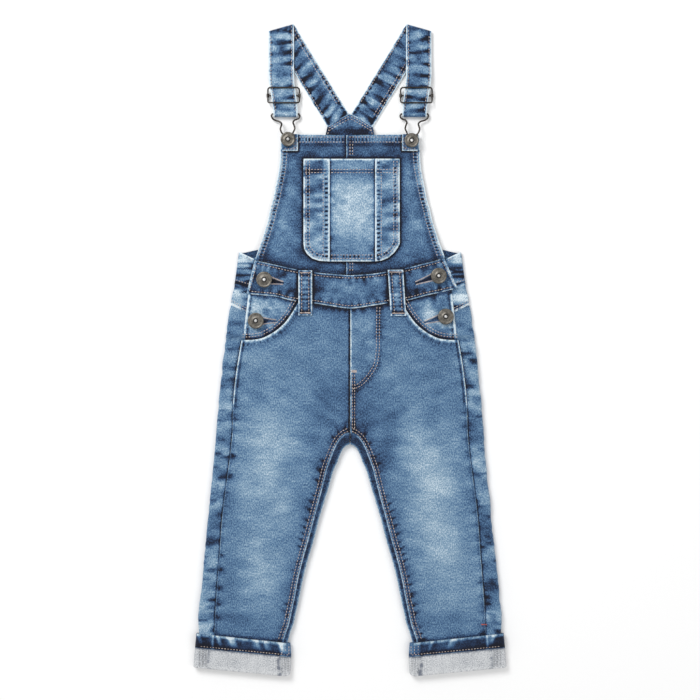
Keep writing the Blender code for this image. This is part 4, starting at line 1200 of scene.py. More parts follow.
def waistband():
    rows = [(n, *row) for n, row in enumerate(WAIST)]

    def place(u, v):
        x = track(rows, u, 3) + (track(rows, u, 1) - track(rows, u, 3)) * v
        y = track(rows, u, 4) + (track(rows, u, 2) - track(rows, u, 4)) * v
        z, r = waist_relief(x, y)
        wash_and_shade = 0.5 + 0.09 * mottle(x, y, 13.0, 127, 1.3) + 0.06 * mottle(x, y, 6.0, 128)
        # lighter on the raised edge ripples: partly real roping wear, partly painted light following the
        # relief
        wash_and_shade = wash_and_shade + 0.2 * r["top"] + 0.22 * r["low"] - 0.5 * r["hole"] - 0.07
        row = hump(r["d_top"] - 2.6, 1.2) + hump(r["d_low"] - 2.6, 1.2)
        wash_and_shade = wash_and_shade - 0.3 * row - 0.3 * hump(r["d_end"] - 3.4, 1.2)
        outward = 0.5 + 0.4 * hump(np.abs(x) - 76.0, 20.0)
        wash_and_shade = wash_and_shade - 0.4 * np.clip(mottle(x, y, 8.0, 129) - 0.2, 0, 1) * outward
        wash_and_shade = wash_and_shade + 0.1 * hump(y - 68.0, 7.0) * hump(np.abs(x) - 5.0, 28.0)
        wash_and_shade = wash_and_shade - 0.08 * hump(r["d_low"] - 6.0, 4.0)
        for side in (-1, 1):
            top, foot, half = LOOPS[side]
            mid = foot[0] + (top[0] - foot[0]) * (y - foot[1]) / (top[1] - foot[1])
            beside = np.abs(x - mid) - half
            # painted shadow on the waistband along both sides of each belt loop
            wash_and_shade = wash_and_shade - 0.9 * hump(beside - 0.5, 1.7) - 0.24 * hump(beside, 5.0)
            wash_and_shade = wash_and_shade - 0.1 * hump(np.hypot(x - side * 66.0, (y - 60.0) * 1.3), 9.0)
            wash_and_shade = wash_and_shade + 0.06 * hump(np.hypot(x - side * 88.0, y - 64.0), 12.0)
        return {"x": x, "y": y, "z": z, "wash_and_shade": wash_and_shade,
                "light_edge": np.minimum(np.minimum(r["d_top"] + 0.4, r["d_end"] * 0.38), r["d_low"] + 0.2)}

    obj = cloth("front_waistband", [(np.linspace(0, len(WAIST) - 1, 250), np.linspace(0, 1, 40), place)],
                BAND_CLOTH, DENIM, ["front_waistband"])
    sew_on(offset(WAIST_TOP_LINE, -2.6)[4:-4], waist_height, BAND_CLOTH)
    sew_on(offset(WAIST_LOW_LINE, 2.6)[4:-4], waist_height, BAND_CLOTH)
    for n in (0, -1):
        line = np.array([WAIST_LOW_LINE[n], WAIST_TOP_LINE[n]])
        shift = 2.6 if n == 0 else -2.6
        line = line + np.array([shift, 0.0])
        sew_on(line + np.array([[0.0, 2.0], [0.0, -2.0]]), waist_height, BAND_CLOTH)


def facing_relief(x, y, side):
    left = np.array([(109.4, 58.9), (112.9, 31.0), (114.3, 14.0), (113.2, 3.0)])
    d_out, s_out = near(np.abs(x), y, left)
    d_pocket, _ = near(x, y, LINES[side]["pocket"])
    hole, rim = hole_shade(x, y)
    ripple = rope(s_out, 8.0, 131 + side) * hump(d_out - 3.0, 3.0)
    z = Z_FACING + 0.25 * ripple + 0.2 * hump(rim, 1.3) - 0.6 * hole
    z = z + 0.25 * mottle(x, y, 11.0, 133) * smooth(d_out / 6.0)
    return z - 0.5 * fade(d_out, 0.0, 1.4), {"d_out": d_out, "d_pocket": d_pocket, "hole": hole,
                                                   "ripple": ripple}


def facing(side, name):
    top = line_through([(109.4, 58.9), (96.0, 58.9), (80.0, 57.5), (63.3, 53.0), (50.0, 51.3)], 2.0)
    foot = line_through([(113.2, 3.0), (95.0, 4.0), (84.0, 9.0), (70.0, 17.0), (60.0, 28.0),
                         (50.0, 42.0)], 2.0)
    left = line_through([(109.4, 58.9), (112.9, 31.0), (114.3, 14.0), (113.2, 3.0)], 2.0)

    def place(u, v):
        a = along(top, u)
        b = along(foot, u)
        high = waist_smooth(side * a[..., 0], 1) - GAP
        x = a[..., 0] + (b[..., 0] - a[..., 0]) * v
        y = high + (b[..., 1] - high) * v
        x = x + (along(left, v)[..., 0] - (109.4 + 3.8 * v)) * (1.0 - u)
        x = side * x
        z, r = facing_relief(x, y, side)
        wash_and_shade = 0.68 - 0.045 * side + 0.12 * mottle(x, y, 12.0, 135) + 0.1 * mottle(x, y, 5.0, 136)
        # painted shadow of the pocket's edge on the facing
        wash_and_shade = wash_and_shade - 0.6 * hump(r["d_pocket"], 2.8) - 0.26 * hump(r["d_pocket"], 9.0) - 0.45 * r["hole"]
        # painted shadow under the waistband's lower edge
        wash_and_shade = wash_and_shade - 0.42 * hump(y - high, 3.2) - 0.16 * hump(y - high, 9.0)
        wash_and_shade = wash_and_shade - 0.34 * hump(r["d_out"] - 3.2, 1.5)
        wash_and_shade = wash_and_shade + 0.2 * r["ripple"] - 0.3 * np.clip(mottle(x, y, 7.0, 137 + side) - 0.25, 0, 1)
        return {"x": x, "y": y, "z": z, "wash_and_shade": wash_and_shade, "light_edge": r["d_out"] * 0.7}

    obj = cloth(name, [(np.linspace(0, 1, 66), np.linspace(0, 1, 60), place)], CLOTH, DENIM, [name])
    height = lambda x, y: facing_relief(x, y, side)[0]
    line = [(side * (p[0] - 3.4), p[1]) for p in left if 12.5 < p[1] < 57.0]
    sew_on(line, height, CLOTH, "navy")


def belt_loop(side, name):
    top, foot, half = LOOPS[side]

    def height(x, y):
        v = (y - foot[1]) / (top[1] - foot[1])
        mid = foot[0] + (top[0] - foot[0]) * v
        arch = smooth(v / 0.22) * smooth((1.0 - v) / 0.08)
        base = 9.4 + np.where(v < 0.5, 0.0, 0.6 * v) + 0.75 * arch
        d = half - np.abs(x - mid)
        return base + 0.25 * hump(np.abs(x - mid), 2.4) - 0.6 * fade(d, 0.0, 1.4) \
            + 0.18 * rope(y, 6.0, 141 + side)

    def place(u, v):
        x = foot[0] + (top[0] - foot[0]) * v + half * u
        y = foot[1] + (top[1] - foot[1]) * v
        d = half * (1.0 - np.abs(u))
        end = np.minimum(v, 1.0 - v) * 48.0
        wash_and_shade = 0.54 + 0.14 * mottle(x, y, 6.0, 143) - 0.42 * hump(d - 2.9, 1.1)
        wash_and_shade = wash_and_shade - 0.3 * ladder(d, y, 3.4, 7.0, 5.0, 144 + side)
        wash_and_shade = wash_and_shade - 0.3 * hump(end - 3.4, 2.2) + 0.14 * rope(y, 6.0, 141 + side)
        return {"x": x, "y": y, "z": height(x, y), "wash_and_shade": wash_and_shade, "light_edge": np.minimum(d, end + 0.3)}

    obj = cloth(name, [(np.linspace(-1, 1, 20), np.linspace(0, 1, 60), place)], CLOTH, DENIM, [name])
    for across in (-0.53, 0.53):
        line = [(foot[0] + (top[0] - foot[0]) * v + half * across, foot[1] + (top[1] - foot[1]) * v)
                for v in np.linspace(0.02, 0.98, 20)]
        sew_on(line, height, CLOTH)
    raised = lambda x, y: height(x, y) + CLOTH / 2
    for y, reach in ((foot[1] + 2.6, 0.86), (top[1] - 2.4, 0.86)):
        mid = foot[0] + (top[0] - foot[0]) * (y - foot[1]) / (top[1] - foot[1])
        bartack(mid - half * reach, y, mid + half * reach, y, raised, 1.5)


waistband()
for way, letter in SIDES:
    facing(way, "pocket_facing_" + letter)
    belt_loop(way, "belt_loop_" + letter)


def buttonhole(ax, ay, bx, by, height, wall):
    """Worked edge of one buttonhole: close stitches set across its outline."""
    a = np.array([ax, ay])
    b = np.array([bx, by])
    size = float(np.hypot(*(b - a)))
    way = (b - a) / size
    out = np.array([-way[1], way[0]])
    row = sewing("tan")
    for k in range(int(size / 0.62)):
        t = (k + 0.5) * 0.62 / size
        half = 0.9 + 2.3 * (1.0 - t) ** 1.4
        for flank in (-1, 1):
            p = a + way * size * t
            p0 = p + out * flank * (half - 0.1)
            p1 = p + out * flank * (half + 1.5) + way * 0.2
            z = float(height(np.array([p1[0]]), np.array([p1[1]]))[0]) + wall / 2 + 0.1
            stitch(row, np.array([*p0, z - 0.15]), np.array([*p1, z]), 0.5, 0.55)


for n, hole in enumerate(HOLES):
    if n % 2 == 0:
        buttonhole(*hole, waist_height, BAND_CLOTH)
    else:
        buttonhole(*hole, lambda x, y, s=(-1 if n == 1 else 1): facing_relief(x, y, s)[0], CLOTH)


# ---------------------------------------------------------------- bib, tabs and pocket

BIB_MID = {-1: -3.95, 1: -3.65}


# rounded foot of the bib pocket from left to right, and the outline all round it
POCKET_FOOT = [(POCKET_LEFT, 114.5), (-49.2, 109.0), (-46.0, 103.5), (-40.5, 98.8), (-33.0, 96.3),
               (-22.0, 95.6), (26.0, 95.6), (34.0, 96.6), (41.0, 99.6), (47.5, 105.0), (52.0, 111.5),
               (POCKET_RIGHT, 115.0)]
POCKET_ROUND = np.array([(POCKET_LEFT, POCKET_TOP), (POCKET_LEFT, 160.0), *POCKET_FOOT,
                         (POCKET_RIGHT, 160.0), (POCKET_RIGHT, POCKET_TOP), (POCKET_LEFT, POCKET_TOP)])


def pocket_foot(x):
    return np.interp(x, *zip(*POCKET_FOOT))


def bib_relief(x, y, side):
    ys = np.linspace(98.0, 233.0, 28)
    edge = np.stack([side * track(BIB_SIDE, ys), ys], axis=1)
    d_side, s_side = near(x, y, edge)
    d_top = BIB_TOP - y + 0.0 * x
    d_mid = x + 3.8
    pucker_top = ladder(d_top, x, 3.2, 7.6, 3.4, 151)
    pucker_side = ladder(d_side, s_side, 3.0, 6.8, 3.6, 153 + side)
    z = bib_z(y) - 0.3 * pucker_top - 0.28 * pucker_side
    z = z + (0.25 * mottle(x, y, 17.0, 155) * smooth(d_side / 9.0) * smooth(d_top / 14.0)
             * smooth((y - 108.0) / 12.0))
    z = z + 0.3 * fade(d_top, 9.5, 1.6) - 0.5 * fade(np.minimum(d_side, d_top), 0.0, 1.4)
    if side > 0:
        z = z + 0.35 * fade(d_mid, 8.0, 1.6) - 0.5 * fade(d_mid, 0.0, 1.3)
    return z, {"d_side": d_side, "d_top": d_top, "d_mid": d_mid, "top": pucker_top, "side": pucker_side}


def bib(side, name):
    """One half of the bib, which meets the other at the centre seam."""
    def place(u, v):
        y0 = BIB_FOOT + 135.3 * v
        x0 = side * track(BIB_SIDE, y0)
        x = x0 + (BIB_MID[side] - x0) * u
        y = y0 + (80.5 + 151.1 * v - y0) * u
        line = BIB_FOOT - 16.9 * u
        y = y + (waist_smooth(x, 0) + 2.2 * GAP - line) * (1.0 - v) ** 3
        z, r = bib_relief(x, y, side)
        d_pocket, _ = near(x, y, POCKET_ROUND)
        wash_and_shade = 0.43 + 0.07 * mottle(x, y, 15.0, 157) + 0.06 * mottle(x, y, 6.0, 158)
        wash_and_shade = wash_and_shade - 0.04 * smooth((y - 196.0) / 16.0) - 0.2 * hump(r["d_top"] - 11.0, 2.4)
        above_waist = y - waist_smooth(x, 0)
        # painted shade round the bib pocket's outline and along the waistband's top edge
        wash_and_shade = wash_and_shade - 0.55 * hump(d_pocket, 2.0) - 0.2 * hump(d_pocket, 7.0)
        wash_and_shade = wash_and_shade - 0.3 * hump(above_waist, 5.0) - 0.12 * hump(above_waist, 14.0)
        wash_and_shade = wash_and_shade - 0.8 * r["top"] - 1.0 * r["side"] + 0.2 * hump(r["d_side"] - 1.0, 2.2)
        # painted shadow of the button tab
        d_tab, _ = near(x, y, [(side * 56.4, 232.0), (side * 56.4, 215.0), (side * 73.0, 215.0)])
        wash_and_shade = wash_and_shade - 0.6 * hump(d_tab - 0.6, 1.5)
        wash_and_shade = wash_and_shade + 0.16 * smooth((9.0 - np.minimum(r["d_side"], r["d_top"])) / 3.0)
        wash_and_shade = wash_and_shade - 0.12 * hump(r["d_side"] - 9.0, 2.4)
        wash_and_shade = wash_and_shade + 0.05 * hump(r["d_side"] - 18.0, 7.0) * smooth((200.0 - y) / 30.0)
        seam = ladder(r["d_mid"], y, 1.8, 7.4, 4.4, 159)
        # the left half's strip beside the centre seam gets painted shade from the overlapping right half
        wash_and_shade = wash_and_shade - 0.42 * seam * (side > 0) - 0.2 * hump(x + 6.0, 2.2) * (side < 0)
        light = np.minimum(np.minimum(r["d_side"] + 0.3, r["d_top"] + 0.5), 9.0)
        if side > 0:
            light = np.minimum(light, r["d_mid"] + 0.2)
            dark = 9.0
        else:
            # the left half's centre edge gets painted shade
            dark = np.abs(r["d_mid"]) + 0.3
        return {"x": x, "y": y, "z": z, "wash_and_shade": wash_and_shade, "light_edge": light, "dark_edge": dark}

    obj = cloth(name, [(np.linspace(0, 1, 76), np.linspace(0, 1, 110), place)], CLOTH, DENIM, [name])
    height = lambda x, y: bib_relief(x, y, side)[0]
    ys = np.linspace(101.0, 230.0, 40)
    edge = np.stack([side * track(BIB_SIDE, ys), ys], axis=1)
    for away in (2.7, 6.9):
        sew_on(edge - np.array([side * away, 0.0]), height, CLOTH)
    for down in (2.8, 8.2):
        near_x = BIB_MID[side] + side * 2.0
        sew_on([(near_x, BIB_TOP - down), (side * 66.4, BIB_TOP - down)], height, CLOTH)
    if side > 0:
        for x in (0.0, 2.9):
            sew_on([(x, 223.0), (x, 207.5)], height, CLOTH)
            sew_on([(x, 94.6), (x, 83.6)], height, CLOTH)


def bib_tab(side, name):
    def place(u, v):
        x = side * (56.4 + 16.6 * u)
        y = 215.0 + 17.6 * v
        d = np.minimum(16.6 * np.minimum(u, 1 - u), 17.6 * np.minimum(v, 1 - v))
        hole = smooth((5.6 - np.hypot(x - side * 66.6, (y - 226.4) * 1.1)) / 1.2)
        z = bib_z(y) + 1.7 + 0.3 * fade(d, 3.4, 1.2) - 0.4 * fade(d, 0.0, 1.2)
        # darker round the button's place: painted shade under the button
        wash_and_shade = 0.42 + 0.1 * mottle(x, y, 6.0, 161) - 0.16 * hole - 0.1 * smooth((y - 228.0) / 3.0)
        wash_and_shade = wash_and_shade - 0.2 * ladder(16.6 * u, y, 1.6, 4.2, 3.2, 162)
        return {"x": x, "y": y, "z": z, "wash_and_shade": wash_and_shade, "light_edge": np.minimum(16.6 * u, 17.6 * v) + 0.2}

    obj = cloth(name, [(np.linspace(0, 1, 22), np.linspace(0, 1, 24), place)], CLOTH, DENIM, [name])
    flat = lambda x, y: bib_z(y) + 1.95
    for away in (1.6, 4.0):
        sew_on([(side * (56.4 + away), 216.6), (side * (56.4 + away), 231.4)], flat, CLOTH)
    sew_on([(side * 58.2, 216.7), (side * 72.0, 216.7)], flat, CLOTH)


def pocket_z(x, y, wall):
    d_out, s_out = near(x, y, POCKET_ROUND)
    pucker = ladder(d_out, s_out, 3.2, 6.6, 4.2, 171) * smooth((200.0 - y) / 4.0)
    d_top = POCKET_TOP - y
    z = bib_z(y) + CLOTH / 2 + GAP + wall / 2 + 0.1
    z = z + 0.3 * fade(d_top, 15.5, 1.6) + 0.25 * fade(d_out, 8.0, 1.6) * (d_top > 14.0)
    z = z - 0.26 * pucker * (d_top > 6.0) - 0.5 * fade(d_out, 0.0, 1.4)
    z = z + 0.22 * mottle(x, y, 13.0, 173) * smooth(d_out / 8.0)
    return z, {"d_out": d_out, "s_out": s_out, "pucker": pucker, "d_top": d_top}


# rounded row of stitches on each outer strip: x, y and how far each shifts for every millimetre inward
ROUND_ROW = {
    -1: [(POCKET_LEFT, 204.5, 1.0, 0.0), (POCKET_LEFT, 114.5, 1.0, 0.0), (-49.0, 110.5, 1.0, 0.0),
         (-45.0, 104.6, 0.8, 0.4), (-40.0, 98.9, 0.4, 0.9), (-33.0, 96.3, 0.0, 1.0), (-23.2, 95.7, 0.0, 1.0)],
    1: [(POCKET_RIGHT, 204.5, -1.0, 0.0), (POCKET_RIGHT, 116.0, -1.0, 0.0), (51.2, 112.2, -0.9, 0.3),
        (47.0, 105.6, -0.6, 0.7), (40.5, 100.0, -0.3, 0.9), (34.0, 96.7, 0.0, 1.0), (28.4, 96.0, 0.0, 1.0)]}


def pocket_panel(name, x0, x1, wall, kind):
    """One panel of the bib pocket from x0 to x1; kind is -1 or 1 for an outer strip, 0 for the centre."""
    def place(u, v):
        x = x0 + (x1 - x0) * u
        low = pocket_foot(x)
        y = low + (POCKET_TOP - low) * v
        z, r = pocket_z(x, y, wall)
        wash_and_shade = 0.5 + 0.05 * mottle(x, y, 9.0, 175) + 0.04 * mottle(x, y, 4.0, 176)
        light = np.minimum(r["d_out"] * 0.75, 9.0) + 0.1
        hem = hump(r["d_top"] - 13.0, 1.6)
        wash_and_shade = wash_and_shade + 0.07 - 0.3 * hem - 0.8 * r["pucker"] * (r["d_top"] > 4.0)
        wash_and_shade = wash_and_shade - 0.12 * hump(r["d_top"] - 16.0, 2.0)
        if kind == 0:
            field = smooth((188.0 - y) / 12.0) * smooth((y - 112.0) / 24.0)
            spread = hump(np.abs(x - 2.6), 24.0)
            wash_and_shade = wash_and_shade + 0.19 * field * (0.85 + 0.15 * spread) + 0.03 * mottle(x, y, 5.0, 183)
            wash_and_shade = wash_and_shade + 0.06 * hump(x + 1.3, 1.6) * field - 0.06 * smooth((116.0 - y) / 8.0)
            # painted shadow of the outer strips along the centre panel's sides
            side_d = np.minimum(x - x0, x1 - x)
            wash_and_shade = wash_and_shade - 0.5 * hump(side_d, 1.5) - 0.1 * hump(side_d, 5.0)
            wash_and_shade = wash_and_shade + 0.12 * mottle(x, y * 3.0, 10.0, 177) * hump(side_d - 3.0, 4.0)
        else:
            inner = (x1 - x) if kind < 0 else (x - x0)
            spots = ladder(inner, y, 1.4, 5.4, 4.8, 178 + kind)
            bands = np.clip(mottle(x * 0.2, y, 5.2, 181 + kind), -1, 0.5)
            wash_and_shade = wash_and_shade - 0.01 - 1.0 * spots + 0.34 * bands * smooth((inner - 6.0) / 2.0)
            wash_and_shade = wash_and_shade + 0.2 * hump(inner - 1.6, 2.4)
            light = np.minimum(light, inner + 0.1)
            z = z - 0.4 * fade(inner, 0.0, 1.3) - 0.25 * spots
        return {"x": x, "y": y, "z": z, "wash_and_shade": wash_and_shade, "light_edge": light}

    ends = np.linspace(0.0, 1.0, int(x1 - x0))
    if kind < 0:
        ends = np.concatenate([[0.0, 0.006, 0.014, 0.03], ends[2:]])
    elif kind > 0:
        ends = np.concatenate([ends[:-2], [0.97, 0.986, 0.994, 1.0]])
    obj = cloth(name, [(ends, np.linspace(0.0, 1.0, 96), place)], wall, DENIM, [name])
    height = lambda x, y: pocket_z(x, y, wall)[0]
    for y in (194.6, 191.2):
        sew_on([(x0 + 1.0, y), (x1 - 1.0, y)], height, wall)
    if kind == 0:
        for y in (98.6, 102.2):
            sew_on([(x0 + 0.8, y), (x1 - 0.8, y)], height, wall)
    if kind:
        for away in (2.8, 6.4):
            sew_on([(x + away * dx, y + away * dy) for x, y, dx, dy in ROUND_ROW[kind]], height, wall)
        x = -28.9 if kind < 0 else 33.7
        sew_on([(x, 190.0), (x, 101.5)], height, wall)


for way, letter in SIDES:
    bib(way, "bib_" + letter)
    bib_tab(way, "bib_tab_" + letter)
pocket_panel("bib_pocket_strip_L", POCKET_LEFT, -22.2, 1.8, -1)
pocket_panel("bib_pocket_centre", -21.9, 27.1, 1.4, 0)
pocket_panel("bib_pocket_strip_R", 27.4, POCKET_RIGHT, 1.8, 1)


# ---------------------------------------------------------------- turned-up cuffs

def ring_at(outer, inner, z_low, z_high, half, t):
    """Point at the fraction t round a flattened tube: top face 0-0.45, outer fold, underside, inner fold."""
    radius = (z_high - z_low) / 2.0
    way = (outer - inner) / np.linalg.norm(outer - inner, axis=1)[:, None]
    c_out = outer - way * (half + radius)[:, None]
    c_in = inner + way * (half + radius)[:, None]
    mid = (z_low + z_high) / 2.0
    top = np.clip(t / 0.45, 0.0, 1.0)[:, None]
    low = np.clip((t - 0.5) / 0.45, 0.0, 1.0)[:, None]
    a = math.pi * (0.5 - np.clip((t - 0.45) / 0.05, 0.0, 1.0))
    b = math.pi * (0.5 - np.clip((t - 0.95) / 0.05, 0.0, 1.0))
    p = c_in + (c_out - c_in) * top
    z = z_high + 0.0 * t
    turn = (t > 0.45) & (t <= 0.5)
    p = np.where(turn[:, None], c_out + way * (radius * np.cos(a))[:, None], p)
    z = np.where(turn, mid + radius * np.sin(a), z)
    under = (t > 0.5) & (t <= 0.95)
    p = np.where(under[:, None], c_out + (c_in - c_out) * low, p)
    z = np.where(under, z_low, z)
    back = t > 0.95
    p = np.where(back[:, None], c_in - way * (radius * np.cos(b))[:, None], p)
    z = np.where(back, mid - radius * np.sin(b), z)
    return p[:, 0], p[:, 1], z


def ring_steps():
    return np.concatenate([np.linspace(0.0, 0.45, 60)[:-1], np.linspace(0.45, 0.5, 13)[:-1],
                           np.linspace(0.5, 0.95, 30)[:-1], np.linspace(0.95, 1.0, 13)])


# rows of short dashes down the cuff's seam and fold: x, dashes, drop to the first one, step between them
CUFF_ROWS = [(155.2, 11, 1.4, 1.75), (158.6, 11, 1.4, 1.75), (162.0, 11, 1.4, 1.75),
             (66.8, 8, 1.6, 1.8), (70.2, 10, 1.6, 1.8), (73.4, 10, 1.6, 1.8)]


def cuff_marks(x, drop):
    """Seam and fold lines that run down both parts of the cuff: thin dark seam line, and the soft inner fold,
    darkened as painted shade.
    """
    line = hump(np.abs(x) - 151.5 - 0.06 * drop, 0.8)
    fold = hump(np.abs(x) - 76.0 - 1.2 * mottle(drop, drop * 0.0, 6.0, 191), 1.6)
    return line, fold


DASH = [(-0.9, 0.0), (0.9, -0.5)]       # the ends of one dash


def cuff(side, name):
    """Turned-up cuff: outer face, turn at the foot and inner face in one closed tube."""
    split = np.array(CUFF_SPLIT)
    foot = np.array(CUFF_FOOT)

    def place(u, v):
        # v: 0-1 outer face, 1-2 turn at the foot, 2-3 up the inner face
        t = np.where(v <= 1, 0.93 * v, np.where(v <= 2, 0.93, 0.93 - 0.81 * (v - 2)))
        turn = np.clip(v - 1.0, 0.0, 1.0)
        inset = 0.85 * (1.0 - np.cos(math.pi * turn))
        drop = np.where(v <= 1, GAP * (1.0 - t), 0.85 * np.sin(math.pi * turn))
        row = split + (foot - split) * t[:, None]
        outer = np.stack([row[:, 2] - inset, row[:, 0] - drop], axis=1)
        inner = np.stack([row[:, 3] + inset, row[:, 1] - drop], axis=1)
        x, y, z = ring_at(outer, inner, 0.7 + inset, 7.6 - inset, 0.7 + 0.0 * t, u)
        down = t * CUFF_DROP
        on_top = (u < 0.47) * (v < 1.5)
        line, fold = cuff_marks(x, down)
        soft = mottle(x, y, 11.0, 193 + side) + 0.5 * mottle(x, y, 5.0, 195)
        dent = on_top * (0.3 * soft + 0.25 * rope(x, 15.0, 197) * hump(down - 18.0, 8.0) - 0.8 * fold
                         - 0.4 * line)
        keep = smooth(down / 4.0) * smooth((CUFF_DROP - down) / 3.0)
        z = z + dent * keep
        inward = (74.0 - x) / 11.0
        corner = smooth(inward) * (1.0 - np.sqrt(np.clip(1.0 - np.clip(inward, 0, 1) ** 2, 0, 1)))
        y = y + 7.0 * corner * smooth((down - 8.0) / 12.0)
        wash_and_shade = 0.54 + 0.06 * soft + 0.12 * hump(down - 20.5, 2.5) - 0.8 * hump(down, 1.2)
        patchy = np.clip(0.75 + 0.7 * mottle(x * 0.0, down, 3.4, 199 + side), 0.15, 1.2)
        # the inner fold gets painted shade and the seam a thin dark line, both made patchy
        wash_and_shade = wash_and_shade - on_top * patchy * (1.2 * fold + 0.9 * line) - 0.1 * (v > 2)
        dash = smooth(np.sin(2 * math.pi * down / 2.3) * 0.9 + 0.4) * on_top
        for centre, *_ in CUFF_ROWS:
            wash_and_shade = wash_and_shade - 0.3 * dash * hump(x - centre, 0.8) - 0.05 * on_top * hump(x - centre, 1.6)
        wash_and_shade = wash_and_shade + 0.12 * on_top * np.clip(rope(x, 15.0, 197), -1, 0) * hump(down - 12.0, 9.0)
        fv = np.where(v <= 2, down, CUFF_DROP + 20.0 * (v - 2))
        return {"x": side * x, "y": y, "z": z, "wash_and_shade": wash_and_shade, "fu": u * CUFF_ROUND, "fv": fv}

    vs = np.concatenate([np.linspace(0, 1, 20)[:-1], np.linspace(1, 2, 9)[:-1], np.linspace(2, 3, 9)])
    obj = cloth(name, [(ring_steps(), vs, place)], CLOTH, PALE, [name], weld=True)
    for x, count, first, step in CUFF_ROWS:
        for n in range(count):
            y = float(cuff_line(x, CUFF_SPLIT)) - first - step * n
            ends = [np.array([side * (x + across), y + down, CUFF_STITCH_Z]) for across, down in DASH]
            stitch(sewing("grey"), *ends, 0.6, 0.45)


def cuff_band(side, name):
    """Dark hem band above the cuff, with its row of stitches."""
    top = np.array(CUFF_TOP)
    split = np.array(CUFF_SPLIT)

    def place(u, v):
        row = top + (split - top) * v[:, None]
        outer = np.stack([row[:, 2], row[:, 0]], axis=1)
        inner = np.stack([row[:, 3], row[:, 1]], axis=1)
        x, y, z = ring_at(outer, inner, 1.0 + 0.0 * v, 7.9 + 0.0 * v, 1.0 + 0.0 * v, u)
        down = v * BAND_DROP
        on_top = (u < 0.47) * 1.0
        seam = hump(x - 147.6, 1.0)
        streaks = np.clip(mottle(x + 0.35 * down, x * 0.0 + 3.0, 4.2, 201 + side), 0, 1)
        streaks = streaks * smooth((13.0 - down) / 9.0)
        z = z + on_top * (0.35 * rope(x, 10.0, 203 + side) * hump(down - 11.0, 4.0)
                          + 0.3 * mottle(x, y, 6.0, 205) * smooth(down / 3.0)
                          + 0.3 * fade(down, 0.0, 2.6) + 0.3 * seam) * smooth((BAND_DROP - down) / 2.0)
        wash_and_shade = 0.17 + 0.08 * mottle(x, y, 6.0, 207) + on_top * ((0.68 - 0.14 * side) * streaks + 0.45 * seam)
        wash_and_shade = wash_and_shade - 0.16 * hump(x - 145.6, 1.4) - 0.12 * (x > 151.0) * (x < 164.0)
        wash_and_shade = wash_and_shade + 0.26 * smooth((76.5 - x) / 3.0) - 0.14 * hump(x - 78.0, 1.6)
        wash_and_shade = wash_and_shade - 0.14 * hump(down - 12.0, 2.4) - 0.2 * hump(down - 13.0, 1.1)
        light = np.where(on_top > 0, np.minimum(down * 0.5 + 0.1, (BAND_DROP - down) * 0.9 + 0.8), 9.0)
        return {"x": side * x, "y": y, "z": z, "wash_and_shade": wash_and_shade, "fu": u * CUFF_ROUND, "fv": down,
                "light_edge": light}

    grid = (ring_steps(), np.linspace(0, 1, 16), place)
    obj = cloth(name, [grid], BAND_CLOTH, DENIM_DARK, [name], weld=True)
    x = np.linspace(66.0, 164.0, 60)
    line = np.stack([side * x, cuff_line(x, CUFF_SPLIT) + 1.9, BAND_STITCH_Z + 0.0 * x], axis=1)
    sew(line, length=2.0, gap=1.2, width=0.75)
    for x in (65.8, 69.4, 73.4):
        rows = np.linspace(2.0, 12.8, 8)
        line = [(side * x, float(cuff_line(x, CUFF_SPLIT)) + r, BAND_STITCH_Z) for r in rows]
        sew(line)


for way, letter in SIDES:
    cuff(way, "cuff_" + letter)
    cuff_band(way, "cuff_band_" + letter)
bartack(141.5, -296.0, 147.6, -296.2, lambda x, y: FRONT[1](x, y) + 0.3, 1.5, "red")


# ---------------------------------------------------------------- straps

STRAP_X = 74.25
SLIDE_X = 71.7
STRAP_HALF = 13.4
FOLD_A = np.array([-85.9, 343.0])
FOLD_B = np.array([-58.3, 350.8])
FOLD_WAY = (FOLD_B - FOLD_A) / np.linalg.norm(FOLD_B - FOLD_A)
FOLD_OUT = np.array([-FOLD_WAY[1], FOLD_WAY[0]])
FOLD_R = 1.3
LOOP_R = 2.1
LOOP_Y = 254.6
TAIL_Y = 289.0
LOOP_TURN = math.pi * LOOP_R


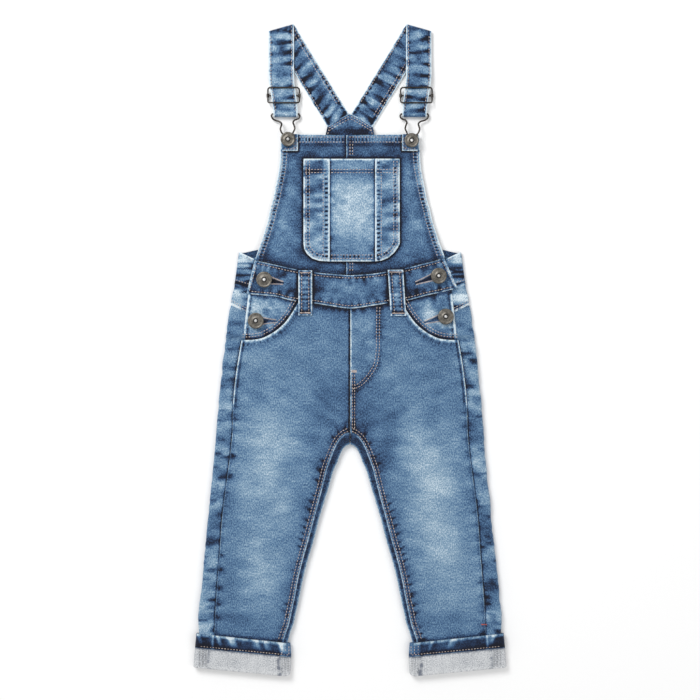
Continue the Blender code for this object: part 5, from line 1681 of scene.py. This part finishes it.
def strap_points(a, length):
    """Places on the left strap at a across it and length up from its lower fold; part 0 tail to 3 back."""
    up = np.maximum(length, -length - LOOP_TURN)
    pull = smooth((44.0 - up) / 44.0)
    x = -STRAP_X + a * (1.0 - 0.04 * pull) + 4.65 * pull
    fx = x
    fy = LOOP_Y + length
    high = 5.1 - 1.6 * smooth((length - 36.0) / 30.0)
    past = (fx - FOLD_A[0]) * FOLD_OUT[0] + (fy - FOLD_A[1]) * FOLD_OUT[1]
    gx = fx - FOLD_OUT[0] * past
    gy = fy - FOLD_OUT[1] * past
    bend = math.pi * FOLD_R
    angle = np.clip(past / FOLD_R, 0.0, math.pi)
    in_bend = past < bend
    rx = np.where(in_bend, gx + FOLD_OUT[0] * FOLD_R * np.sin(angle), gx - FOLD_OUT[0] * (past - bend))
    ry = np.where(in_bend, gy + FOLD_OUT[1] * FOLD_R * np.sin(angle), gy - FOLD_OUT[1] * (past - bend))
    rz = np.where(in_bend, 0.9 + FOLD_R + FOLD_R * np.cos(angle), 0.9)
    near_fold = past > 0
    X = np.where(near_fold, rx, fx)
    Y = np.where(near_fold, ry, fy)
    # blend from the raised run into the fold's own height
    lead = high + (0.9 + 2 * FOLD_R - high) * smooth((past + 6.0) / 6.0)
    Z = np.where(near_fold, rz, lead)
    turn = np.clip(-length / LOOP_R, 0.0, math.pi)
    in_loop = (length < 0.0) & (length >= -LOOP_TURN)
    Y = np.where(in_loop, LOOP_Y - LOOP_R * np.sin(turn), Y)
    Z = np.where(in_loop, 0.9 + LOOP_R + LOOP_R * np.cos(turn), Z)
    tail = length < -LOOP_TURN
    Y = np.where(tail, LOOP_Y - length - LOOP_TURN, Y)
    Z = np.where(tail, 0.9, Z)
    X = np.where(in_loop | tail, x, X)
    part = np.where(tail, 0, np.where(in_loop, 1, np.where(past > bend * 0.5, 3, 2)))
    return X, Y, Z, part, past


def strap_look(a, length, side):
    X, Y, Z, part, past = strap_points(a, length)
    d = STRAP_HALF - np.abs(a)
    front = part == 2
    back = part == 3
    slant = length + a * (0.12 + 0.22 * mottle(length, length * 0.0, 26.0, 210 + side))
    bars = np.clip(rope(slant, 12.0, 211 + side) * 1.25, -1.0, 1.0)
    blot = mottle(a * 0.6, slant, 6.0, 213 + side)
    keep = smooth((np.abs(past) - 2.0) / 5.0)
    ripple = (0.2 * bars + 0.16 * blot) * smooth(d / 2.0)
    Z = Z + np.where(front, keep * (ripple + 0.16 * hump(d - 1.0, 1.4)) * smooth((length - 2.0) / 6.0), 0.0)
    Z = Z + np.where(back, keep * 0.8 * np.abs(ripple), 0.0)
    Z = Z - np.where(front | back, 0.4 * fade(d, 0.0, 1.2) * keep * np.where(front, 1.0, 0.2), 0.0)
    wash_and_shade = 0.56 + 0.18 * blot + 0.08 * mottle(a, length, 4.0, 215)
    reach = np.where(mottle(length, a * 0.0, 12.0, 218 + side) > 0.0, hump((a + STRAP_HALF) - 2.0, 9.0),
                     hump((STRAP_HALF - a) - 2.0, 9.0))
    # darker in the ripple valleys: partly unfaded dye, partly painted shade following the relief
    dark = smooth((-bars - 0.1) / 0.6) * (0.25 + 0.85 * reach)
    wash_and_shade = wash_and_shade - 0.72 * dark * smooth((d - 0.8) / 1.2) - 0.7 * ladder(d, length, 1.2, 3.6, 3.3, 216)
    wash_and_shade = np.where(back, wash_and_shade - 0.05, wash_and_shade)
    # darker on the back part beside the fold and along the fold line: painted shade
    wash_and_shade = wash_and_shade - 0.5 * np.where(back, hump(past - 6.0, 5.0), 0.0)
    wash_and_shade = wash_and_shade - 0.3 * np.where(front, 1.0, 0.0) * hump(past, 2.2)
    wash_and_shade = wash_and_shade + 0.26 * hump(d - 0.5, 1.2)
    wash_and_shade = np.where(part <= 1, wash_and_shade - 0.12, wash_and_shade)
    spots = ladder(d, length, 0.8, 5.0, 6.5, 219)
    wash_and_shade = wash_and_shade - np.where(back, 0.6 * spots, 0.3 * spots)
    return X, Y, Z, wash_and_shade, d


def strap(side, name):
    left = (FOLD_A[1] - LOOP_Y) + (-STRAP_HALF - STRAP_X - FOLD_A[0]) * FOLD_WAY[1] / FOLD_WAY[0]
    right = left + 2 * STRAP_HALF * FOLD_WAY[1] / FOLD_WAY[0]
    stretch = 1.0 / FOLD_WAY[0]
    bend = math.pi * FOLD_R * stretch
    rows = [(-LOOP_TURN - (TAIL_Y - LOOP_Y) * (1 - t),) * 2 for t in np.linspace(0, 0.94, 18)]
    rows += [(-LOOP_TURN * (1 - t),) * 2 for t in np.linspace(0, 1, 11)]
    rows += [(v, v) for v in np.arange(1.8, 62.0, 1.6)]
    for t in np.linspace(0.0, 1.0, 16)[1:]:
        rows.append((62.0 + (left - 62.0) * t, 62.0 + (right - 62.0) * t))
    rows += [(left + bend * t, right + bend * t) for t in np.linspace(0, 1, 13)[1:]]
    ends = (121.0, 111.0)
    rows += [(left + bend + ends[0] * t, right + bend + ends[1] * t) for t in np.linspace(0, 1, 72)[1:]]
    rows = np.array(rows)

    def place(u, v):
        n = np.rint(v).astype(int)
        length = rows[n, 0] + (rows[n, 1] - rows[n, 0]) * u
        a = STRAP_HALF * (2 * u - 1.0)
        x, y, z, wash_and_shade, d = strap_look(a, length, side)
        return {"x": -side * x, "y": y, "z": z, "wash_and_shade": wash_and_shade, "fu": a, "fv": length, "light_edge": d + 0.35}

    obj = cloth(name, [(np.linspace(0, 1, 22), np.arange(len(rows)), place)], STRAP_CLOTH, DENIM, [name])
    for a in (-11.2, 11.2, -8.0 if side > 0 else 8.0):
        for part in (0, 1):
            if abs(a) < 9 and part == 0:
                continue
            if part == 0:
                length = np.linspace(3.0, left - 2.5, 80)
                length = length + (a / (2 * STRAP_HALF) + 0.5) * (right - left) * smooth(length / left)
            else:
                length = np.linspace(left + bend + 3.0, left + bend + 108.0, 90)
                length = length + (a / (2 * STRAP_HALF) + 0.5) * (right - left - 10.0)
            x, y, z, _, _ = strap_look(np.full(len(length), a), length, side)
            sew(np.stack([-side * x, y, z + STRAP_CLOTH / 2 + 0.12], axis=1))


for way, letter in SIDES:
    strap(way, "strap_" + letter)


# ---------------------------------------------------------------- slides, hooks and buttons

def rod(points, radius, closed=True, around=14, name="rod"):
    """Bent round wire through the points."""
    curve = bpy.data.curves.new(name, "CURVE")
    curve.dimensions = "3D"
    curve.bevel_depth = radius * MM
    curve.bevel_resolution = around // 4
    curve.use_fill_caps = True
    spline = curve.splines.new("POLY")
    spline.points.add(len(points) - 1)
    for n, (x, y, z) in enumerate(points):
        spline.points[n].co = (x * MM, y * MM, z * MM, 1.0)
    spline.use_cyclic_u = closed
    obj = bpy.data.objects.new(name, curve)
    bpy.context.scene.collection.objects.link(obj)
    graph = bpy.context.evaluated_depsgraph_get()
    mesh = bpy.data.meshes.new_from_object(obj.evaluated_get(graph))
    bpy.data.objects.remove(obj, do_unlink=True)
    return mesh


def joined(name, meshes, mat, nodes, sharp=50.0):
    bm = bmesh.new()
    for mesh in meshes:
        bm.from_mesh(mesh)
    mesh = as_mesh(bm, name)
    return finish_mesh(name, mesh, mat, nodes, sharp)


def closed_curve(points, step=0.7):
    pts = np.array(list(points[-3:]) + list(points) + list(points[:3]), dtype=float)
    dist = runs(pts)
    at = np.arange(dist[3], dist[-3], step)
    rows = [(dist[k], *pts[k]) for k in range(len(pts))]
    return np.stack([track(rows, at, 1 + k) for k in range(3)], axis=1)


def slide(side, name):
    quarter = [(13.2, 283.0, 7.3), (15.0, 282.9, 7.0), (16.2, 282.3, 5.6), (16.9, 281.2, 3.9),
               (17.0, 279.6, 3.0)]
    middle = 274.8
    foot = [(x, 2 * middle - y, z) for x, y, z in quarter[::-1]]
    right = [(6.0, 283.0, 7.3)] + quarter + [(17.0, 275.0, 3.0)] + foot + [(6.0, 266.6, 7.3)]
    left = [(-x, y, z) for x, y, z in right[::-1]]
    loop = closed_curve([(side * SLIDE_X + x, y, z) for x, y, z in right + left])
    bar = [(side * SLIDE_X + x, middle, 3.0) for x in np.linspace(-18.4, 18.4, 12)]
    meshes = [rod(loop, 0.85), rod(bar, 0.9, closed=False)]
    for x in (-17.0, 17.0):
        meshes.append(rod([(side * SLIDE_X + x, middle + d, 3.0) for d in (-1.9, -1.2, 0.0, 1.2, 1.9)],
                          1.45, closed=False))
    joined(name, meshes, WIRE_METAL, [name])


HOOK_LEFT = [(-83.9, 255.0, 3.0), (-84.8, 253.6, 3.0), (-84.4, 251.6, 3.0), (-82.8, 249.4, 3.1),
             (-80.4, 248.1, 3.2), (-76.4, 246.8, 3.8), (-73.8, 244.2, 5.4), (-74.4, 241.0, 7.2),
             (-75.0, 238.0, 8.4), (-73.8, 234.4, 8.6)]
HOOK_RIGHT = [(-61.2, 234.4, 8.6), (-59.5, 238.4, 8.4), (-60.4, 242.4, 6.8), (-61.4, 245.8, 4.8),
              (-60.0, 248.2, 3.8), (-57.4, 249.2, 3.2), (-54.8, 251.0, 3.0), (-54.3, 253.2, 3.0),
              (-55.3, 255.0, 3.0)]


def hook(side, name, button_x, button_y):
    loop = []
    for k in range(11):
        a = math.radians(140.0 + 260.0 * k / 10)
        loop.append((-abs(button_x) + 6.0 * math.cos(a), button_y + 6.0 * math.sin(a), 8.45))
    bend = line_through(HOOK_LEFT + loop + HOOK_RIGHT, 0.7)
    bar = [(HOOK_RIGHT[-1][0] + (HOOK_LEFT[0][0] - HOOK_RIGHT[-1][0]) * t, 255.0, 3.0)
           for t in np.linspace(0, 1, 20)[1:-1]]
    points = [(-side * x, y, z) for x, y, z in list(bend) + bar]
    joined(name, [rod(points, 0.92)], WIRE_METAL, [name])


BUTTON_TOP = {}
BUTTONS = [("button_waist_L", -92.4, 75.8, 8.6), ("button_waist_R", 95.5, 79.9, 8.6),
           ("button_pocket_L", -101.5, 31.5, 8.6), ("button_pocket_R", 103.1, 36.0, 8.6),
           ("button_bib_L", -66.9, 227.0, 7.8), ("button_bib_R", 66.4, 225.7, 7.8)]


def button(name, x, y, radius, base):
    """Turned metal button: flat head with rolled rim, raised ring and a hollow centre."""
    foot = [(0.0, 0.0), (3.6, 0.0), (3.6, 2.2)]
    rim = [(1.2, 2.2), (0.4, 2.35), (0.05, 2.75), (0.0, 3.2), (0.15, 3.65), (0.55, 3.98), (1.05, 4.08),
           (1.5, 4.0), (1.8, 3.86), (2.3, 3.84)]
    ring = [(4.4, 3.9), (4.1, 4.02), (3.7, 4.22), (3.2, 4.4), (2.7, 4.5), (2.2, 4.42), (1.85, 4.1),
            (1.7, 3.5), (1.5, 3.2), (0.0, 3.15)]
    profile = foot + [(radius - inset, z) for inset, z in rim] + ring
    bm = bmesh.new()
    verts = [bm.verts.new((r * MM, 0.0, z * MM)) for r, z in profile]
    edges = [bm.edges.new((verts[k], verts[k + 1])) for k in range(len(verts) - 1)]
    bmesh.ops.spin(bm, geom=verts + edges, cent=(0, 0, 0), axis=(0, 0, 1), angle=2 * math.pi, steps=56,
                   use_merge=True, use_duplicate=False)
    bmesh.ops.remove_doubles(bm, verts=bm.verts, dist=0.00001)
    bmesh.ops.recalc_face_normals(bm, faces=bm.faces)
    bmesh.ops.translate(bm, verts=bm.verts, vec=(x * MM, y * MM, base * MM))
    mesh = as_mesh(bm, name)
    finish_mesh(name, mesh, BUTTON_METAL, [name], 40.0)


for way, letter in SIDES:
    slide(way, "slide_" + letter)
hook(-1, "hook_L", -66.9, 227.0)
hook(1, "hook_R", 66.4, 225.7)
for label, bx, by, br in BUTTONS:
    if "bib" in label:
        rest = Z_BIB + CLOTH / 2 + 2 * GAP + CLOTH
    elif "waist" in label:
        rest = float(band_z(abs(bx) - 4.5)) + BAND_CLOTH / 2 + GAP
    else:
        rest = Z_FACING + CLOTH / 2 + GAP
    BUTTON_TOP[label] = rest
    button(label, bx, by, br, rest)


def bore_shade_rings():
    """Dark ring of painted shade inside each button's hollow centre."""
    bm = bmesh.new()
    for label, x, y, _ in BUTTONS:
        circle = bmesh.ops.create_circle(bm, segments=10, radius=0.72 * MM)["verts"]
        turn = Matrix.Translation((2.35 * MM, 0.0, 0.0)) @ Matrix.Rotation(math.pi / 2, 4, "X")
        bmesh.ops.transform(bm, matrix=turn, verts=circle)
        edges = list(dict.fromkeys(edge for vert in circle for edge in vert.link_edges))
        before = set(bm.verts) - set(circle)
        bmesh.ops.spin(bm, geom=circle + edges, cent=(0, 0, 0), axis=(0, 0, 1), angle=2 * math.pi, steps=28,
                       use_merge=True, use_duplicate=False)
        ring = [vert for vert in bm.verts if vert not in before]
        bmesh.ops.translate(bm, verts=ring, vec=(x * MM, y * MM, (BUTTON_TOP[label] + 4.1) * MM))
    bmesh.ops.recalc_face_normals(bm, faces=bm.faces)
    mesh = as_mesh(bm, "bore_shade_rings")
    finish_mesh("bore_shade_rings", mesh, BORE_SHADE, [], 60.0)


def rivet_tip_glints():
    """Small rivet end seen in each button's hollow centre, made near white as a painted glint."""
    bm = bmesh.new()
    for label, x, y, _ in BUTTONS:
        place = Matrix.Translation(Vector((x, y, BUTTON_TOP[label] + 3.3)) * MM)
        size = Matrix.Diagonal((2.0 * MM, 2.0 * MM, 1.4 * MM, 1.0))
        bmesh.ops.create_uvsphere(bm, u_segments=16, v_segments=10, radius=1.0, matrix=place @ size)
    mesh = as_mesh(bm, "rivet_tip_glints")
    finish_mesh("rivet_tip_glints", mesh, GLINT_NICKEL, [], 180.0)


bore_shade_rings()
rivet_tip_glints()


# ---------------------------------------------------------------- stitches, floor, light, camera

THREADS = {"tan": TAN, "navy": NAVY, "red": RED, "grey": GREY}


def stitching(name, row, mat):
    """All the stitches of one thread as a single joined mesh, built up a few at a time."""
    whole = bmesh.new()
    for at in range(0, len(row), 40):
        few = bmesh.new()
        for place in row[at:at + 40]:
            bmesh.ops.create_uvsphere(few, u_segments=6, v_segments=4, radius=1.0, matrix=place)
        mesh = as_mesh(few, "few")
        whole.from_mesh(mesh)
        bpy.data.meshes.remove(mesh)
    mesh = as_mesh(whole, name)
    finish_mesh(name, mesh, mat, [], 180.0)


for kind, row in SEWN.items():
    stitching("stitching_" + kind, row, THREADS[kind])

bm = bmesh.new()
bmesh.ops.create_grid(bm, x_segments=1, y_segments=1, size=6.0)
bmesh.ops.translate(bm, verts=bm.verts, vec=(0.0, 0.0, -0.0006))
floor_mesh = as_mesh(bm, "floor")
floor = bpy.data.objects.new("floor", floor_mesh)
bpy.context.scene.collection.objects.link(floor)
paper, _, surface = blank("white_paper")
surface.inputs["Base Color"].default_value = (0.95, 0.95, 0.95, 1.0)
surface.inputs["Roughness"].default_value = 0.9
floor_mesh.materials.append(paper)

world = bpy.data.worlds.new("studio")
world.use_nodes = True
world.node_tree.nodes["Background"].inputs["Color"].default_value = (1.0, 1.0, 1.0, 1.0)
world.node_tree.nodes["Background"].inputs["Strength"].default_value = 0.6
bpy.context.scene.world = world
bpy.context.scene.view_settings.view_transform = "Standard"


def lamp(name, place, aim, size, power):
    data = bpy.data.lights.new(name, "AREA")
    data.shape = "SQUARE"
    data.size = size
    data.energy = power
    obj = bpy.data.objects.new(name, data)
    obj.location = place
    obj.rotation_euler = (Vector(aim) - Vector(place)).to_track_quat("-Z", "Y").to_euler()
    bpy.context.scene.collection.objects.link(obj)


lamp("key", (-0.9, 1.1, 1.5), (0.0, 0.0, 0.0), 0.9, 26.0)
lamp("fill", (1.2, -0.6, 1.8), (0.0, 0.0, 0.0), 1.4, 9.0)

view = bpy.data.cameras.new("camera")
view.lens = 85.0
view.sensor_width = 36.0
view.clip_start = 0.01
camera = bpy.data.objects.new("camera", view)
camera.location = (0.0, 0.0, 1.789)
camera.rotation_euler = (0.0, 0.0, 0.0)
bpy.context.scene.collection.objects.link(camera)
bpy.context.scene.camera = camera
